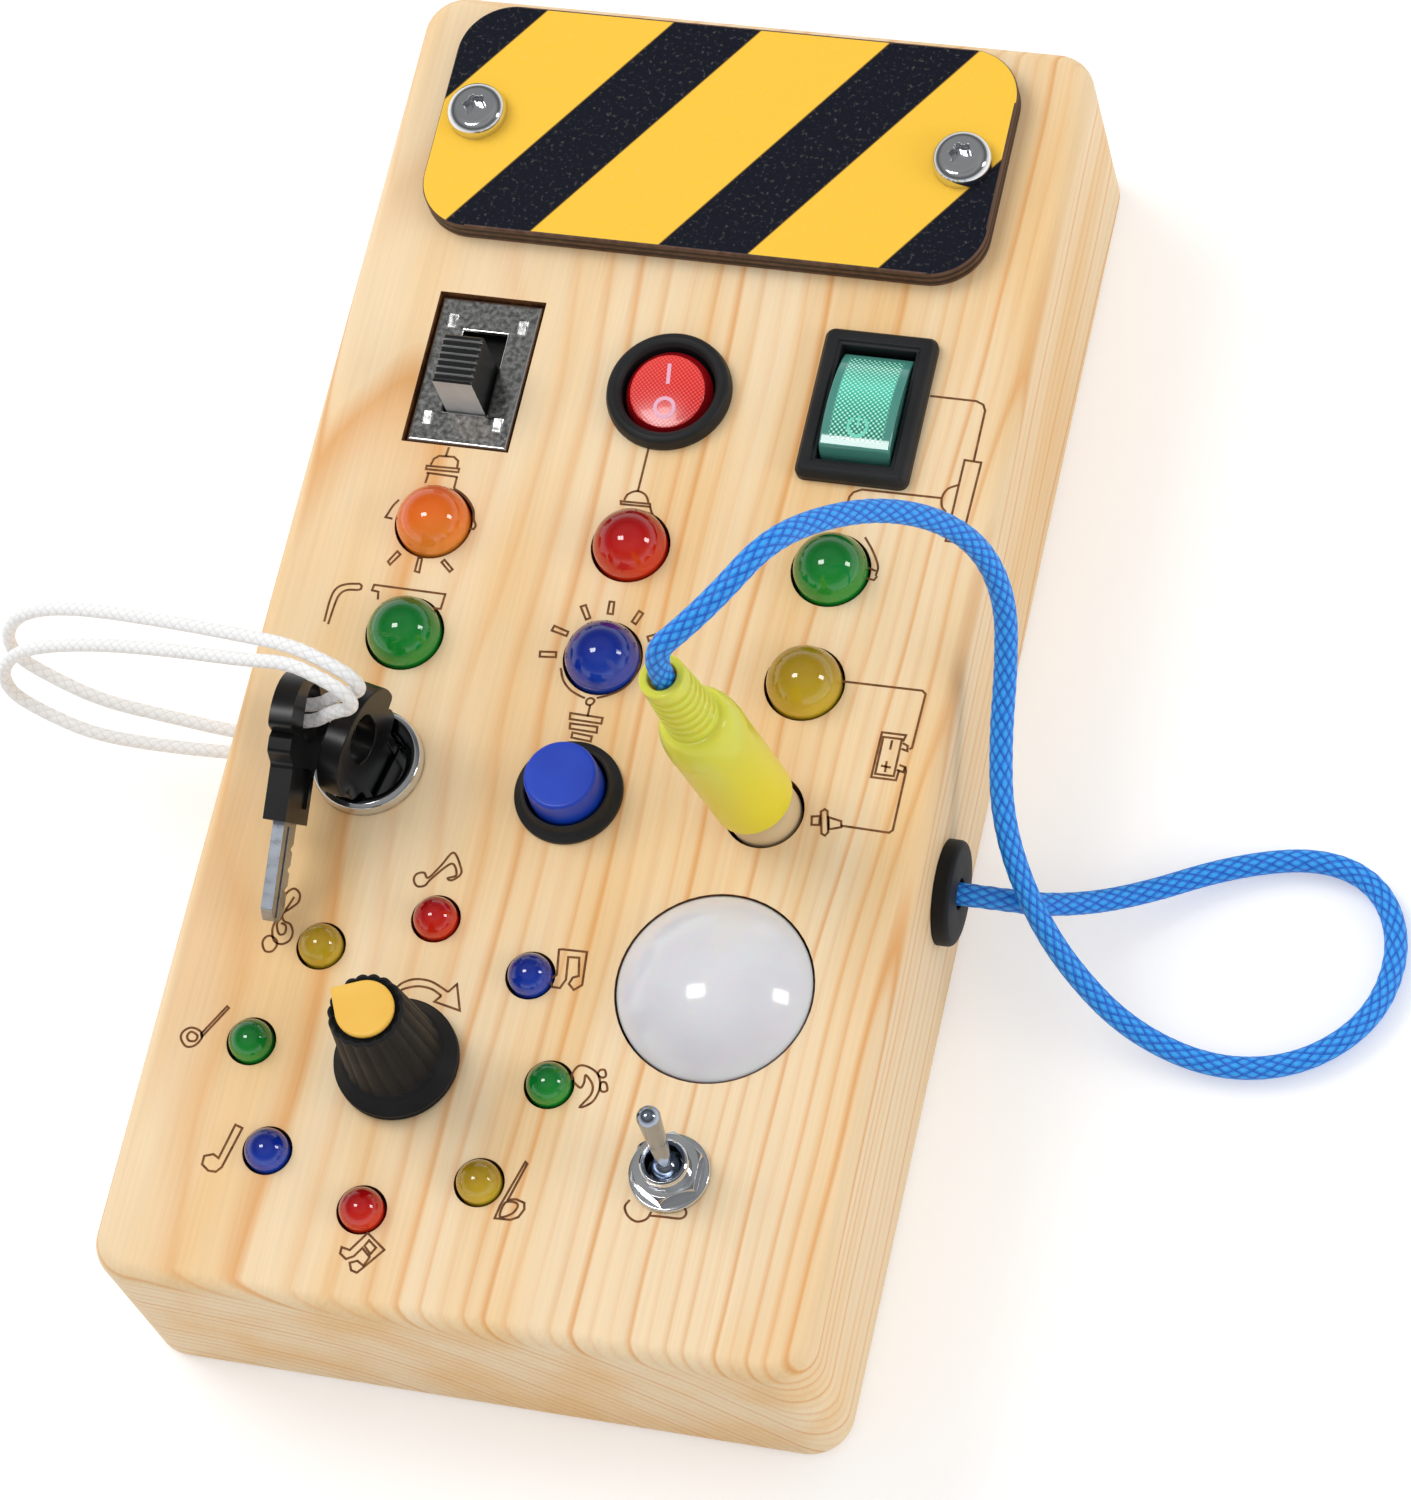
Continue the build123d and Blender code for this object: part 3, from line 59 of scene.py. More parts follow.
def addNode(tree, kind, settings=None, links=None):
    # kind: the shader node's name without its prefix, and its operation if it has one;
    # settings: attributes in small letters, sockets by name or number; links: a socket to what feeds it
    node = tree.nodes.new("ShaderNode" + kind.split()[0])
    if " " in kind:
        node.operation = kind.split()[1]
    for key, value in (settings or {}).items():
        if key == "stops":
            ramp = node.color_ramp
            while len(ramp.elements) < len(value):
                ramp.elements.new(0.5)
            for element, (place, code) in zip(ramp.elements, value):
                element.position, element.color = place, linearColour(code)
        elif isinstance(key, str) and key[0].islower():
            setattr(node, key, value)
        else:
            node.inputs[key].default_value = linearColour(value) if isinstance(value, str) else value
    for key, source in (links or {}).items():
        tree.links.new(source.outputs[0] if isinstance(source, bpy.types.Node) else source, node.inputs[key])
    return node


def newFinish(name, **sockets):
    # a material whose plain numbers sit on the surface shader's own sockets
    material = bpy.data.materials.new(name)
    material.use_nodes = True
    tree = material.node_tree
    shader = tree.nodes["Principled BSDF"]
    for key, value in sockets.items():
        socket = key.replace("_", " ")
        shader.inputs[socket].default_value = linearColour(value) if isinstance(value, str) else value
    return material, tree, shader


def meshPiece(name, points, faces, uv=None, smooth=True, tidy=True):
    # an object at the origin from points in metres; tidy joins doubled points and turns the faces outwards
    mesh = bpy.data.meshes.new(name)
    mesh.from_pydata(points, [], faces)
    if uv is not None:
        layer = mesh.uv_layers.new(name="UVMap")
        layer.data.foreach_set("uv", np.asarray(uv, np.float32).ravel())
    if tidy:
        shape = bmesh.new()
        shape.from_mesh(mesh)
        bmesh.ops.remove_doubles(shape, verts=shape.verts, dist=2e-7)
        bmesh.ops.recalc_face_normals(shape, faces=shape.faces)
        shape.to_mesh(mesh)
        shape.free()
    mesh.polygons.foreach_set("use_smooth", [smooth] * len(mesh.polygons))
    piece = bpy.data.objects.new(name, mesh)
    bpy.context.scene.collection.objects.link(piece)
    return piece


def gridFaces(count, rows, wrapCount, wrapRows, first=0):
    # quads between neighbours on a count x rows grid of points, wrapping round where asked
    i, j = np.meshgrid(np.arange(count if wrapCount else count - 1),
                       np.arange(rows if wrapRows else rows - 1), indexing="ij")
    i, j = i.ravel(), j.ravel()
    i2, j2 = (i + 1) % count, (j + 1) % rows
    return np.stack([i * rows + j, i2 * rows + j, i2 * rows + j2, i * rows + j2], 1) + first


def softProfile(corners, steps=5):
    # a radius-and-height line whose corners are rounded: each corner's third number is its radius, and the
    # rounding is the arc that touches both neighbours, drawn in equal turns
    corners = [tuple(c) + (0.0,) * (3 - len(c)) for c in corners]
    line = []
    for k, (r, h, bend) in enumerate(corners):
        here = np.array([r, h])
        before, after = (np.array(corners[(k + d) % len(corners)][:2]) - here for d in (-1, 1))
        before, after = (way / max(np.linalg.norm(way), 1e-9) for way in (before, after))
        half = math.acos(max(-1.0, min(1.0, float(before @ after)))) / 2
        if bend <= 0 or k in (0, len(corners) - 1) or half > 1.55:     # an end, or no corner at all
            line.append(here)
            continue
        reach = bend / math.tan(half)
        middle = here + (before + after) / np.linalg.norm(before + after) * bend / math.sin(half)
        start, end = here + before * reach - middle, here + after * reach - middle
        total = math.atan2(start[0] * end[1] - start[1] * end[0], float(start @ end))
        for turn in np.linspace(0, total, steps + 1):
            c, s = math.cos(turn), math.sin(turn)
            line.append(middle + [c * start[0] - s * start[1], s * start[0] + c * start[1]])
    return np.array(line)


def axisFrame(axis):
    # the axis at unit length and two directions square to it, by cross products
    axis = np.array(axis, float) / np.linalg.norm(axis)
    across = np.cross([0, 1, 0] if abs(axis[1]) < 0.9 else [0, 0, 1], axis)
    across /= np.linalg.norm(across)
    return axis, across, np.cross(axis, across)


def turnedPiece(name, profile, centres, axis=(0, 0, 1), sides=72, closed=False, radiusAt=None):
    # profile (radius, height) carried once round each centre:
    # place = centre + axis*height + radius*(across*cos(turn) + along*sin(turn)), with radiusAt to groove it
    axis, across, along = axisFrame(axis)
    turn = np.linspace(0, 2 * np.pi, sides, endpoint=False)[:, None]
    radius, height = np.broadcast_to(profile[:, 0], (sides, len(profile))), profile[:, 1][None, :]
    if radiusAt is not None:
        radius = radiusAt(radius, np.broadcast_to(height, radius.shape), turn)
    shape = (radius * np.cos(turn))[..., None] * across + (radius * np.sin(turn))[..., None] * along \
        + (height * np.ones_like(turn))[..., None] * axis
    points, faces = [], []
    for centre in centres:
        faces.append(gridFaces(sides, len(profile), True, closed, len(points) * shape[..., 0].size))
        points.append(shape.reshape(-1, 3) + centre)
    return meshPiece(name, np.concatenate(points) * mm, np.concatenate(faces).tolist())


def settle(piece, body, slot, finishes, *stands):
    # finish, slot (not used), body and the CAD nodes that the piece stands for
    piece.data.materials.clear()
    for finish in finishes if isinstance(finishes, (list, tuple)) else [finishes]:
        piece.data.materials.append(finish)
    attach(piece, body)
    if stands:
        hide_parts(*stands)
    return piece


def finishByFace(piece, chosen):
    # the second finish on the faces that chosen picks from their normals and their centres in mm
    facts = {}
    for fact in ("normal", "center"):
        facts[fact] = np.zeros(len(piece.data.polygons) * 3)
        piece.data.polygons.foreach_get(fact, facts[fact])
    picked = chosen(facts["normal"].reshape(-1, 3), facts["center"].reshape(-1, 3) / mm)
    piece.data.polygons.foreach_set("material_index", picked.astype(np.int32))


def dressed(node, width=0.15, steps=2, angle=32, weight=True):
    # a node's own shape with its loose triangles joined, flats made whole, and worn edges rounded
    mesh = nodes[node].data.copy()
    shape = bmesh.new()
    shape.from_mesh(mesh)
    bmesh.ops.remove_doubles(shape, verts=shape.verts, dist=1.5e-6)
    bmesh.ops.dissolve_limit(shape, angle_limit=math.radians(0.6), verts=shape.verts, edges=shape.edges)
    shape.to_mesh(mesh)
    shape.free()
    if mesh.has_custom_normals:
        mesh.normals_split_custom_set_from_vertices([(0, 0, 0)] * len(mesh.vertices))
    mesh.polygons.foreach_set("use_smooth", [True] * len(mesh.polygons))
    piece = bpy.data.objects.new(node + "_dressed", mesh)
    bpy.context.scene.collection.objects.link(piece)
    if width:
        worn = piece.modifiers.new("wornEdges", "BEVEL")
        worn.width, worn.segments, worn.limit_method = width * mm, steps, "ANGLE"
        worn.angle_limit, worn.harden_normals = math.radians(angle), False
        worn.miter_outer = "MITER_ARC"
    if weight:
        even = piece.modifiers.new("evenShading", "WEIGHTED_NORMAL")
        even.keep_sharp, even.weight = False, 90
    return piece


# camera
view = {"place": (0.19761918, -0.27737350, 0.66648080),
        "turn": (0.9688598151, 0.2019522668, 0.1134021565, 0.0875550766), "lens": 136.0713}
cameraData = bpy.data.cameras.new("camera")
cameraData.lens, cameraData.sensor_width, cameraData.clip_start = view["lens"], 36.0, 0.01
camera = bpy.data.objects.new("camera", cameraData)
camera.location, camera.rotation_mode, camera.rotation_quaternion = view["place"], "QUATERNION", view["turn"]
bpy.context.scene.collection.objects.link(camera)
bpy.context.scene.camera = camera
print("camera placed")


# cords
def smoothRoute(name, route):
    # the route's points as the control points of one NURBS line; returns the points along that line
    data = bpy.data.curves.new(name, "CURVE")
    data.dimensions, data.resolution_u = "3D", 24
    spline = data.splines.new("NURBS")
    spline.points.add(len(route) - 1)
    for point, place in zip(spline.points, route):
        point.co = (*(c * mm for c in place), 1.0)
    spline.order_u, spline.use_endpoint_u = 3, True
    holder = bpy.data.objects.new(name, data)
    bpy.context.scene.collection.objects.link(holder)
    line = bpy.data.meshes.new_from_object(holder)
    points = np.array([v.co for v in line.vertices], float)
    bpy.data.objects.remove(holder)
    bpy.data.meshes.remove(line)
    return points


def braidHeight(turns, length, carriers, pitch):
    # two sets of strands at u = carriers*turns + length/pitch and v = carriers*turns - length/pitch; in
    # every other diamond the first set lies on top, and a strand is highest in the middle of its diamond
    u, v = carriers * turns + length / pitch, carriers * turns - length / pitch
    first = (np.floor(u) + np.floor(v)) % 2 < 0.5
    wide, long = np.where(first, v % 1, u % 1), np.where(first, u % 1, v % 1)
    return np.sin(np.pi * wide) ** 0.6 * (0.55 + 0.45 * np.sin(np.pi * long))


def cordPiece(name, points, settings):
    # tube round the line: rings square to it, turned as little as possible from one to the next, each point
    # at radius + relief*(braid height - 0.6)
    steps = np.concatenate([[0], np.cumsum(np.linalg.norm(np.diff(points, axis=0), axis=1))])
    rows, sides = settings["rows"], settings["sides"]
    s = np.linspace(0, steps[-1], rows)
    line = np.stack([np.interp(s, steps, points[:, k]) for k in range(3)], 1)
    ahead = np.gradient(line, axis=0)
    ahead /= np.linalg.norm(ahead, axis=1)[:, None]
    across = np.zeros_like(ahead)
    side = np.cross(ahead[0], [0.0, 0.0, 1.0])
    for k in range(rows):                     # one small turn per ring, not per point of the mesh
        side = side - ahead[k] * (side @ ahead[k])
        side /= np.linalg.norm(side)
        across[k] = side
    over = np.cross(ahead, across)
    turns = np.arange(sides)[:, None] / sides
    height = braidHeight(turns, s[None, :] / mm, settings["carriers"], settings["pitch"])
    radius = (settings["radius"] + settings["relief"] * (height - 0.6)) * mm
    angle = 2 * np.pi * turns
    grid = (line[None] + (radius * np.cos(angle))[..., None] * across
            + (radius * np.sin(angle))[..., None] * over)
    faces = gridFaces(sides, rows, True, False)
    ends = np.array([line[0], line[-1]])
    first, last = sides * rows, sides * rows + 1
    ring = np.arange(sides)
    startCap = np.stack([np.full(sides, first), (ring + 1) % sides * rows, ring * rows], 1)
    endCap = np.stack([np.full(sides, last), ring * rows + rows - 1,
                       (ring + 1) % sides * rows + rows - 1], 1)
    i, j = np.meshgrid(np.arange(sides), np.arange(rows - 1), indexing="ij")
    i, j = i.ravel(), j.ravel()
    corner = [(s[j] / mm, i / sides), (s[j] / mm, (i + 1) / sides), (s[j + 1] / mm, (i + 1) / sides),
              (s[j + 1] / mm, i / sides)]
    uv = np.stack([np.stack(c, 1) for c in corner], 1).reshape(-1, 2)
    uv = np.concatenate([uv, np.zeros((6 * sides, 2))])
    piece = meshPiece(name, np.concatenate([grid.reshape(-1, 3), ends]),
                      faces.tolist() + startCap.tolist() + endCap.tolist(), uv=uv, tidy=False)
    shape = bmesh.new()
    shape.from_mesh(piece.data)
    bmesh.ops.recalc_face_normals(shape, faces=shape.faces)
    shape.to_mesh(piece.data)
    shape.free()
    return piece, float(steps[-1])


plugTilt = math.radians(8.5)
plugAxis = np.array([-math.sin(plugTilt), 0, math.cos(plugTilt)])
plugMouth = np.array([25.1, -20.0, face])
blueCord = {"radius": 1.46, "relief": 0.10, "carriers": 8, "pitch": 2.2, "rows": 1000, "sides": 48}
blueRoute = [
    (36.75, -21.5, 15.4), (53.0, -21.5, 15.4), (59.5, -18.8, 8.8), (67.6, -14.4, 4.0), (79.7, -7.3, 2.0),
    (90.8, -4.7, 2.0), (98.8, -7.7, 2.0), (102.6, -15.8, 2.0), (100.6, -25.9, 2.0), (92.7, -33.1, 2.0),
    (82.2, -35.2, 2.0), (71.1, -32.6, 4.5), (62.8, -27.3, 10.0), (57.2, -21.3, 16.0), (53.0, -13.2, 21.5),
    (51.9, -4.8, 27.0), (52.2, 2.4, 34.0), (52.1, 7.8, 41.5), (49.8, 10.5, 50.0), (45.4, 9.8, 58.5),
    (40.0, 6.1, 67.0), (34.8, -0.2, 75.0), (31.5, -7.0, 81.3), (27.3, -13.2, 80.0), (23.6, -17.0, 78.0),
    tuple(plugMouth + plugAxis * 43.5), tuple(plugMouth + plugAxis * 35.4)]
keyCord = {"radius": 0.88, "relief": 0.04, "carriers": 4, "pitch": 1.7, "rows": 560, "sides": 28}
firstRoute = [(-38.05, -13.0, 15.5), (-50.0, -12.5, 15.2), (-62.0, -10.9, 14.0), (-71.4, -9.9, 14.0),
              (-78.9, -7.8, 15.0), (-83.6, -6.5, 17.5), (-83.8, -5.0, 22.0), (-79.4, -4.5, 28.0),
              (-70.0, -5.7, 34.0), (-54.4, -9.4, 42.0), (-39.9, -13.1, 49.0), (-32.5, -15.6, 53.6),
              (-27.5, -17.2, 53.5), (-24.2, -18.2, 52.2), (-23.6, -18.6, 49.1), (-27.4, -18.8, 47.5),
              (-31.3, -18.9, 42.9), (-34.8, -18.9, 42.9)]
secondRoute = [(-38.05, -15.0, 15.5), (-50.0, -15.3, 15.2), (-62.0, -14.8, 13.0), (-71.7, -14.4, 13.0),
               (-79.4, -12.4, 14.0), (-83.5, -11.2, 16.5), (-83.3, -9.7, 21.0), (-78.4, -9.3, 27.0),
               (-67.0, -10.5, 34.0), (-52.8, -13.1, 41.5), (-40.2, -15.9, 48.0), (-32.6, -17.8, 53.4),
               (-27.6, -19.4, 53.3), (-24.6, -20.4, 52.0), (-24.1, -20.9, 49.0), (-27.5, -21.1, 47.4),
               (-31.3, -21.1, 42.8), (-34.8, -21.1, 42.8)]


def braidFinish(name, light, dark, gap, settings, yarns, sheen):
    # braided yarn: diamonds of fine parallel filaments; the colour is painted lighter on top of each strand,
    # a painted highlight, and darker in the gaps, painted shade
    material, tree, shader = newFinish(name, Roughness=0.48, Sheen_Weight=sheen, Sheen_Roughness=0.4)
    uv = addNode(tree, "SeparateXYZ", links={0: addNode(tree, "TexCoord").outputs["UV"]})
    along = addNode(tree, "Math DIVIDE", {1: settings["pitch"]}, {0: uv})
    u = addNode(tree, "Math MULTIPLY_ADD", {1: settings["carriers"]}, {0: uv.outputs[1], 2: along})
    back = addNode(tree, "Math MULTIPLY", {1: -1.0}, {0: along})
    v = addNode(tree, "Math MULTIPLY_ADD", {1: settings["carriers"]}, {0: uv.outputs[1], 2: back})
    fu = addNode(tree, "Math FRACT", {}, {0: u})
    fv = addNode(tree, "Math FRACT", {}, {0: v})
    cells = addNode(tree, "Math ADD", {}, {
        0: addNode(tree, "Math FLOOR", {}, {0: u}),
        1: addNode(tree, "Math FLOOR", {}, {0: v})})
    top = addNode(tree, "Math PINGPONG", {1: 1.0}, {0: cells})
    wide = addNode(tree, "Mix", {}, {0: top, 2: fv, 3: fu})
    long = addNode(tree, "Mix", {}, {0: top, 2: fu, 3: fv})
    hump = addNode(tree, "Math SINE", {}, {0: addNode(tree, "Math MULTIPLY", {1: math.pi}, {0: wide})})
    arch = addNode(tree, "Math SINE", {}, {0: addNode(tree, "Math MULTIPLY", {1: math.pi}, {0: long})})
    lines = addNode(tree, "Math SINE", {}, {
        0: addNode(tree, "Math MULTIPLY", {1: 2 * math.pi * yarns}, {0: wide})})
    level = addNode(tree, "Math MULTIPLY_ADD", {1: 0.12}, {
        0: lines, 2: addNode(tree, "Math MULTIPLY", {}, {0: hump, 1: arch})})
    # colour by strand height: the gap colour is painted shade in the hollows, the light colour a painted
    # highlight on the tops
    colour = addNode(tree, "ValToRGB", {"stops": [(0.0, gap), (0.3, dark), (0.85, light)]}, {0: level})
    tree.links.new(colour.outputs[0], shader.inputs["Base Color"])
    bump = addNode(tree, "Bump", {"Strength": 0.6, "Distance": 0.00012}, {"Height": level})
    tree.links.new(bump.outputs[0], shader.inputs["Normal"])
    return material


# gap colours are painted shade between the strands, light colours painted highlights on their tops
blueBraid = braidFinish("blue_polyester_braid", "#34AEFF", "#1282EC", "#0A5AC4", blueCord, 3, 0.0)
whiteBraid = braidFinish("white_cotton_braid", "#FFFFFF", "#FEFEFE", "#EFEEEC", keyCord, 3, 0.0)
bluePiece, blueLength = cordPiece("braided_blue_cord", smoothRoute("blueLine", blueRoute), blueCord)
settle(bluePiece, "board", "blue_braid", blueBraid, "blue_cord")
firstPiece, firstLength = cordPiece("key_string_first", smoothRoute("firstLine", firstRoute), keyCord)
settle(firstPiece, "board", "white_braid", whiteBraid, "key_cord_first_strand")
secondPiece, secondLength = cordPiece("key_string_second", smoothRoute("secondLine", secondRoute), keyCord)
settle(secondPiece, "board", "white_braid", whiteBraid, "key_cord_second_strand")
print("cords made", round(blueLength, 4), round(firstLength, 4), round(secondLength, 4))


# finishes
def pineFinish():
    # planed pine: the year rings run round a heart that lies deep below the left edge, so the face shows
    # broad soft amber streaks on the left and close straight lines on the right; radius = sqrt(dx^2 +
    # dz^2), with dx and dz leaning a little along the board, and one line of latewood per ring
    grain = {"heart": (-41.0, -50.0), "lean": (-0.035, 0.016), "ring": 1.6, "sway": (13.0, 0.0, 5.0),
             "early": "#F8DEB6", "amber": "#F3CB92", "late": "#E49A48"}
    material, tree, shader = newFinish("planed_pine", Roughness=0.52, Specular_IOR_Level=0.3)
    place = addNode(tree, "TexCoord").outputs["Object"]
    inMm = addNode(tree, "VectorMath SCALE", {"Scale": 1000.0}, {0: place})
    slow = addNode(tree, "VectorMath MULTIPLY", {1: (0.022, 0.0085, 0.022)}, {0: inMm})
    sway = addNode(tree, "TexNoise", {"Scale": 1.0, "Detail": 2.0, "Roughness": 0.45}, {"Vector": slow})
    offset = addNode(tree, "VectorMath MULTIPLY", {1: grain["sway"]}, {0: sway.outputs["Color"]})
    bent = addNode(tree, "VectorMath ADD", {}, {0: inMm, 1: offset})
    parts = addNode(tree, "SeparateXYZ", {}, {0: bent})
    legs = []
    for axis, middle, lean in ((0, grain["heart"][0], grain["lean"][0]),
                               (2, grain["heart"][1], grain["lean"][1])):
        away = addNode(tree, "Math SUBTRACT", {1: middle + grain["sway"][axis] / 2},
                       {0: parts.outputs[axis]})
        legs.append(addNode(tree, "Math MULTIPLY_ADD", {1: lean}, {0: parts.outputs[1], 2: away}))
    squares = addNode(tree, "Math MULTIPLY_ADD", {}, {
        0: legs[0], 1: legs[0], 2: addNode(tree, "Math MULTIPLY", {}, {0: legs[1], 1: legs[1]})})
    radius = addNode(tree, "Math SQRT", {}, {0: squares})
    years = addNode(tree, "Math DIVIDE", {1: grain["ring"]}, {0: radius})
    season = addNode(tree, "Math FRACT", {}, {0: years})
    year = addNode(tree, "Math FLOOR", {}, {0: years})
    luck = addNode(tree, "TexWhiteNoise", {"noise_dimensions": "1D"}, {"W": year})
    rise = addNode(tree, "ValToRGB", {"stops": [(0.0, "#6A6A6A"), (0.2, "#000000"), (0.55, "#4A4A4A"),
                                                (0.86, "#FFFFFF"), (1.0, "#6A6A6A")]}, {0: season})
    strength = addNode(tree, "MapRange", {"To Min": 0.15, "To Max": 0.8}, {"Value": luck.outputs["Value"]})
    line = addNode(tree, "Math MULTIPLY", {}, {0: rise, 1: strength.outputs[0]})
    fibreAt = addNode(tree, "VectorMath MULTIPLY", {1: (2.6, 0.05, 2.6)}, {0: inMm})
    fibre = addNode(tree, "TexNoise", {"Scale": 1.0, "Detail": 3.0}, {"Vector": fibreAt})
    cloudAt = addNode(tree, "VectorMath MULTIPLY", {1: (0.07, 0.012, 0.07)}, {0: bent})
    cloud = addNode(tree, "TexNoise", {"Scale": 1.0, "Detail": 2.0}, {"Vector": cloudAt})
    patch = addNode(tree, "MapRange", {"From Min": 0.42, "From Max": 0.66}, {"Value": cloud})
    ground = addNode(tree, "Mix", {"data_type": "RGBA", 6: grain["early"], 7: grain["amber"]},
                     {0: patch.outputs[0]})
    veined = addNode(tree, "Mix", {"data_type": "RGBA", 7: grain["late"]}, {0: line, 6: ground.outputs[2]})
    fine = addNode(tree, "MapRange", {"From Min": 0.3, "From Max": 0.7, "To Min": 0.96, "To Max": 1.03},
                   {"Value": fibre})
    wood = addNode(tree, "VectorMath SCALE", {}, {0: veined.outputs[2], "Scale": fine.outputs[0]})
    tree.links.new(wood.outputs[0], shader.inputs["Base Color"])
    relief = addNode(tree, "Math ADD", {}, {0: fibre, 1: line})
    bump = addNode(tree, "Bump", {"Strength": 0.15, "Distance": 0.0001}, {"Height": relief})
    tree.links.new(bump.outputs[0], shader.inputs["Normal"])
    return material


def scorchedFinish():
    # pine cut by a laser: charred brown, uneven and dull
    material, tree, shader = newFinish("laser_cut_pine_edge", Roughness=0.8)
    noise = addNode(tree, "TexNoise", {"Scale": 900.0, "Detail": 3.0},
                    {"Vector": addNode(tree, "TexCoord").outputs["Object"]})
    colour = addNode(tree, "ValToRGB", {"stops": [(0.3, "#5E3414"), (0.7, "#8C5828")]}, {0: noise})
    tree.links.new(colour.outputs[0], shader.inputs["Base Color"])
    return material


def plyFinish(name, light, dark, sheetThickness, low):
    # birch plywood: each sheet's grain runs across the last, seen as bands of light and dark on the edges
    material, tree, shader = newFinish(name, Roughness=0.6)
    place = addNode(tree, "TexCoord").outputs["Object"]
    parts = addNode(tree, "SeparateXYZ", {}, {0: place})
    sheet = addNode(tree, "Math MULTIPLY_ADD", {1: 1000.0 / sheetThickness,
                                                2: -low / sheetThickness + 0.001}, {0: parts.outputs[2]})
    odd = addNode(tree, "Math PINGPONG", {1: 1.0}, {0: addNode(tree, "Math FLOOR", {}, {0: sheet})})
    stretched = addNode(tree, "VectorMath MULTIPLY", {1: (900.0, 40.0, 900.0)}, {0: place})
    noise = addNode(tree, "TexNoise", {"Scale": 1.0, "Detail": 4.0}, {"Vector": stretched})
    shade = addNode(tree, "Math MULTIPLY_ADD", {1: 0.55}, {0: odd, 2: noise})
    colour = addNode(tree, "ValToRGB", {"stops": [(0.3, light), (1.0, dark)]}, {0: shade})
    tree.links.new(colour.outputs[0], shader.inputs["Base Color"])
    return material


def stripedFinish():
    # thin plywood printed with slanting bands, a dull ink that lets a little pale grain through
    stripes = {"angle": 54.0, "pitch": 29.7, "black": 12.0, "middle": -16.8, "yellow": "#FFCB40",
               "ink": "#0A0F20", "border": "#4A2E0E"}
    material, tree, shader = newFinish("printed_plywood", Roughness=0.5, Specular_IOR_Level=0.25)
    place = addNode(tree, "TexCoord").outputs["Object"]
    parts = addNode(tree, "SeparateXYZ", {}, {0: place})
    slant = 1000.0 / stripes["pitch"]
    down = -slant / math.tan(math.radians(stripes["angle"]))
    shift = (-stripes["middle"]
             + boardPlaces["plate"][1] / math.tan(math.radians(stripes["angle"]))) / stripes["pitch"]
    first = addNode(tree, "Math MULTIPLY_ADD", {1: slant, 2: shift + 40.5}, {0: parts})
    band = addNode(tree, "Math MULTIPLY_ADD", {1: down}, {0: parts.outputs[1], 2: first})
    away = addNode(tree, "Math SUBTRACT", {1: 0.5}, {0: addNode(tree, "Math FRACT", {}, {0: band})})
    near = addNode(tree, "Math ABSOLUTE", {}, {0: away})
    half, fade = stripes["black"] / stripes["pitch"] / 2, 0.006
    printed = addNode(tree, "ValToRGB", {"stops": [
        (0.0, stripes["ink"]), (half - fade, stripes["ink"]), (half, stripes["border"]),
        (half + fade, stripes["yellow"]), (1.0, stripes["yellow"])]}, {0: near})
    speck = addNode(tree, "TexNoise", {"Scale": 1500.0, "Detail": 2.0, "Roughness": 0.7}, {"Vector": place})
    dust = addNode(tree, "MapRange", {"From Min": 0.58, "From Max": 0.78, "To Max": 0.1}, {"Value": speck})
    inked = addNode(tree, "Mix", {"data_type": "RGBA", 7: "#FFF3D8"}, {0: dust.outputs[0], 6: printed})
    tree.links.new(inked.outputs[2], shader.inputs["Base Color"])
    bump = addNode(tree, "Bump", {"Strength": 0.25, "Distance": 0.00005}, {"Height": speck})
    tree.links.new(bump.outputs[0], shader.inputs["Normal"])
    return material


def metalFinish(name, colour, rough, mottle=0.0, scale=300.0, stretch=(1.0, 1.0, 1.0)):
    # plated metal: the plating's tiny unevenness shows as faint clouds of roughness
    material, tree, shader = newFinish(name, Base_Color=colour, Metallic=1.0, Roughness=rough)
    spread = addNode(tree, "VectorMath MULTIPLY", {1: stretch},
                     {0: addNode(tree, "TexCoord").outputs["Object"]})
    noise = addNode(tree, "TexNoise", {"Scale": scale, "Detail": 4.0}, {"Vector": spread})
    polish = addNode(tree, "MapRange", {"From Min": 0.3, "From Max": 0.7, "To Min": max(rough - 0.05, 0.03),
                                        "To Max": rough + 0.08}, {"Value": noise})
    tree.links.new(polish.outputs[0], shader.inputs["Roughness"])
    if mottle:
        dim = addNode(tree, "MapRange", {"From Min": 0.35, "From Max": 0.65, "To Min": 1 - mottle,
                                         "To Max": 1.0}, {"Value": noise})
        tint = addNode(tree, "VectorMath SCALE", {0: linearColour(colour)[:3]}, {"Scale": dim.outputs[0]})
        tree.links.new(tint.outputs[0], shader.inputs["Base Color"])
    bump = addNode(tree, "Bump", {"Strength": 0.06, "Distance": 0.00005}, {"Height": noise})
    tree.links.new(bump.outputs[0], shader.inputs["Normal"])
    return material


def mouldedFinish(name, colour, deep, rough, grit=0.0, gritScale=4000.0, **more):
    # moulded plastic or rubber: a slightly uneven colour, and the mould's fine spark texture as bump
    material, tree, shader = newFinish(name, Roughness=rough, **more)
    place = addNode(tree, "TexCoord").outputs["Object"]
    clouds = addNode(tree, "TexNoise", {"Scale": 160.0, "Detail": 2.0}, {"Vector": place})
    tone = addNode(tree, "ValToRGB", {"stops": [(0.3, deep), (0.7, colour)]}, {0: clouds})
    tree.links.new(tone.outputs[0], shader.inputs["Base Color"])
    if grit:
        fine = addNode(tree, "TexNoise", {"Scale": gritScale, "Detail": 1.0}, {"Vector": place})
        bump = addNode(tree, "Bump", {"Strength": grit, "Distance": 0.00004}, {"Height": fine})
        tree.links.new(bump.outputs[0], shader.inputs["Normal"])
    return material


